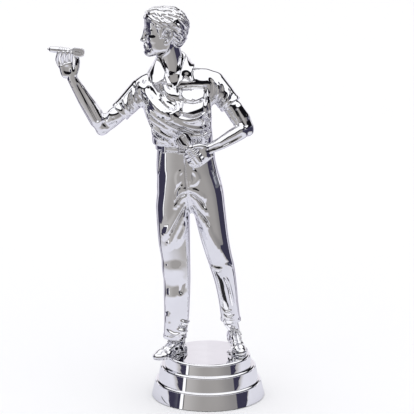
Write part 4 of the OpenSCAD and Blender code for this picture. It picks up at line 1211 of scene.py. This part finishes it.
def shoe_clay(heel, toe, ankle, lift):
    """A laced shoe. heel and toe are (x, y); the heel's seat is lift above the base."""
    heel, toe = np.array(heel, float), np.array(toe, float)
    length = float(np.linalg.norm(toe - heel))
    ahead = (toe - heel) / length
    left = np.array((-ahead[1], ahead[0]))

    def at(s, t, z):
        """s along the shoe in parts of its length, t across in mm, z above the sole's rest."""
        rise = lift * max(0.0, 1 - s / BALL_AT) ** BEND
        return (*(heel + ahead * length * s + left * t), z + rise)

    c = Clay()
    for (s0, w0), (s1, w1) in zip(SHOE_PLAN[:-1], SHOE_PLAN[1:]):
        for t in (-1, 0, 1):
            ends = [at(s0, t * (w0 - 0.75), 0.95), at(s1, t * (w1 - 0.75), 0.95)]
            c.add(chain(ends, [0.85, 0.85]), 0.35)
    # the sole's edge, arched before the heel
    outline = [heel + ahead * length * s + left * sign * (w + 0.16)
               for sign in (1, -1) for s, w in SHOE_PLAN[::sign]]
    o = np.array(outline, np.float32)

    def sole_distance(p):
        s = np.clip((p[:, :2] - heel) @ ahead / length, 0, 1)
        z = p[:, 2] - lift * np.maximum(0, 1 - s / BALL_AT) ** BEND
        arch = 0.45 * np.exp(-((s - 0.38) / 0.1) ** 2)
        slab = np.abs(z - 0.42 - arch * 0.5) - (0.42 - arch * 0.5)
        return -soft(-(outline_distance(o, p[:, :2]) - 0.1), -slab.astype(np.float32), 0.2)

    sole = Shape(sole_distance, (*(np.min(outline, 0) - 0.3), -0.1),
                 (*(np.max(outline, 0) + 0.3), lift + 1.4))
    # the upper: heel counter, instep and toe cap
    c.add(chain([at(0.04, 0, 1.6), at(0.16, 0, 2.6)], [1.75, 1.85]), 0.9)
    c.add(chain([at(0.16, 0, 2.6), at(0.42, 0, 2.75), at(0.62, 0, 1.9)], [1.85, 1.75, 1.55]), 1.0)
    for t in (-0.5, 0.5):
        c.add(chain([at(0.6, t, 1.5), at(0.82, t, 1.2)], [1.5, 1.25]), 1.0)
    c.add(chain([at(0.82, 0, 1.3), at(0.95, 0, 1.1)], [1.5, 1.0]), 1.0)
    base = c.copy()
    c.add(chain([at(0.1, 0, 4.2), (ankle[0], ankle[1], 6.2 + lift)], [2.0, 2.5]), 0.8)
    # the toe cap's seam, the facings, the tongue and five crossings of the lace
    low, high = base.box()
    pad = 3.2

    def shell(rise, keep):
        def distance(p):
            s = ((p[:, :2] - heel) @ ahead / length).astype(np.float32)
            t = ((p[:, :2] - heel) @ left).astype(np.float32)
            return -soft(-(base.distance(p, 4) - rise), -keep(s * length, t, p[:, 2]), 0.25)
        return Shape(distance, low - pad, high + pad)

    c.add(shell(0.2, lambda s, t, z: np.maximum(length * 0.76 - s, 0.2 - z)), 0.08)
    c.add(shell(0.22, lambda s, t, z: np.maximum.reduce([np.abs(np.abs(t) - 1.25) - 0.6, length * 0.2 - s,
                                                         s - length * 0.66, 1.9 - z])), 0.08)
    for i, top in enumerate(LACE_TOPS):
        s = 0.3 + 0.075 * i
        for slope in (0.035, -0.035):
            lace = [at(s - slope, -1.35, top - 0.75), at(s, 0, top - 0.05), at(s + slope, 1.35, top - 0.75)]
            c.add(chain(lace, [0.2, 0.24, 0.2]), 0.08)
    knot = at(0.27, 0, 4.75)
    for t in (-1, 1):
        loop = [knot, at(0.33, 1.3 * t, 4.9), at(0.4, 1.9 * t, 4.1), at(0.34, 1.1 * t, 4.4), knot]
        c.add(chain(eased(loop, 4), 0.2), 0.08)
        c.add(chain(eased([knot, at(0.36, 0.7 * t, 4.6), at(0.45, 1.5 * t, 3.7)], 4), 0.17), 0.08)
    c.add(ball(knot, 0.38), 0.1)
    c.add(sole, 0.06)
    c.keep(half_space((0, 0, 0.02), (0, 0, -1)), 0.05)
    return c


# ---------------- darts
def dart_clay(tail, tip):
    """A dart from the tail of its flights to the tip of its barrel."""
    tail, tip = np.array(tail, float), np.array(tip, float)
    length = float(np.linalg.norm(tip - tail))
    ahead = (tip - tail) / length

    def at(s):
        return tail + ahead * length * s

    c = Clay()
    c.add(chain([at(s) for s in (0.1, 0.36, 0.42, 0.62, 0.86, 0.94)], [0.5, 0.75, 1.05, 1.2, 0.95, 0.4]))
    # grooves of the grip
    for i in range(6):
        s = 0.46 + 0.05 * i
        c.cut(Shape(ring_at(at(s), ahead, 1.1 + 0.015 * i, 0.12), at(s) - 1.4, at(s) + 1.4), 0.08)
    side = np.cross(ahead, (0, 1, 0))
    side /= np.linalg.norm(side)
    up = np.cross(side, ahead)
    # two crossed plates make the four flights
    edge = [(-0.2, 0.8), (0.1, 1.5), (0.9, 2.0), (length * 0.24, 2.0), (length * 0.4, 0.3)]
    o = np.array(edge + [(s, -w) for s, w in edge[::-1]], np.float32)
    for turn in (math.radians(35), math.radians(125)):
        wide = math.cos(turn) * side + math.sin(turn) * up
        axes = np.array([ahead, wide, np.cross(ahead, wide)], np.float32)

        def distance(p, axes=axes):
            q = (p - tail.astype(np.float32)) @ axes.T
            return -soft(-outline_distance(o, q[:, :2]), -(np.abs(q[:, 2]) - 0.17), 0.1)

        c.add(Shape(distance, at(0.2) - 3, at(0.2) + 3), 0.1)
    return c


# ---------------- everything
def halves(name, points, faces, level, material, front, back):
    """Parts a closed piece along an upright plane into two closed pieces."""
    for part, node, side in ((name + "_front", front, 1), (name + "_back", back, -1)):
        obj = piece(part, points, faces, material, [node])
        work = bmesh.new()
        work.from_mesh(obj.data)
        plane = (0, level * FIGURE * MM, 0)
        cut = bmesh.ops.bisect_plane(work, geom=work.verts[:] + work.edges[:] + work.faces[:], dist=1e-8,
                                     plane_co=plane, plane_no=(0, side, 0), clear_outer=True)
        rim = [e for e in cut["geom_cut"] if isinstance(e, bmesh.types.BMEdge)]
        lids = bmesh.ops.holes_fill(work, edges=rim, sides=0)["faces"]
        for lid in lids:
            lid.smooth = False
            for edge in lid.edges:
                edge.smooth = False
        work.normal_update()
        work.to_mesh(obj.data)
        work.free()
        obj.data.update()


# Where the trousers and the shirt are parted, as a distance behind the figure's middle in mm.
PARTING = 2.75


def build():
    chrome = metal("chrome", (0.93, 0.93, 0.95), 0.025, 700, 0.0000007)
    brass = metal("brass", (0.86, 0.66, 0.30), 0.22, 2600, 0.000004)
    for node, material in (("base_cup", chrome), ("threaded_insert", brass)):
        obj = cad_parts[node]
        for slot in obj.material_slots:
            slot.material = material
    for name, clay, step in (("trousers", trousers_clay, 0.22), ("shirt", shirt_clay, 0.2)):
        points, faces = skin(clay(), step * STEP)
        halves(name, points, faces, PARTING, chrome, name + "_front", name + "_back")
    points, faces = skin(belt_clay(), 0.15 * STEP)
    piece("belt", points, faces, chrome, ["trousers_front", "trousers_back"])
    points, faces = skin(head_clay(), 0.135 * STEP)
    piece("head", FROM_HEAD(points), faces, chrome, ["head"])
    for name, clay, step in (
            ("throwing_arm", throwing_arm_clay(), 0.16),
            ("resting_arm", resting_arm_clay(), 0.16),
            ("right_shoe", shoe_clay((-8.8, 2), (-17.2, -8.4), (-11.2, 0.1), 0), 0.13),
            ("left_shoe", shoe_clay((8.3, 10.4), (11.1, -3.4), (7.7, 7.2), 2.4), 0.13),
            ("throwing_dart", dart_clay((-40.6, -1.5, 102.9), (-52.8, -1.5, 104.3)), 0.09),
            ("spare_dart_upper", dart_clay((-9.6, -8.6, 76.4), (-2.8, -9.2, 66.2)), 0.09),
            ("spare_dart_lower", dart_clay((-8.7, -9.6, 77.4), (-1.9, -10.2, 67.2)), 0.09)):
        points, faces = skin(clay, step * STEP)
        piece(name, points, faces, chrome, [name])


bpy.context.scene.view_settings.view_transform = "Standard"
camera()
studio()
floor()
build()
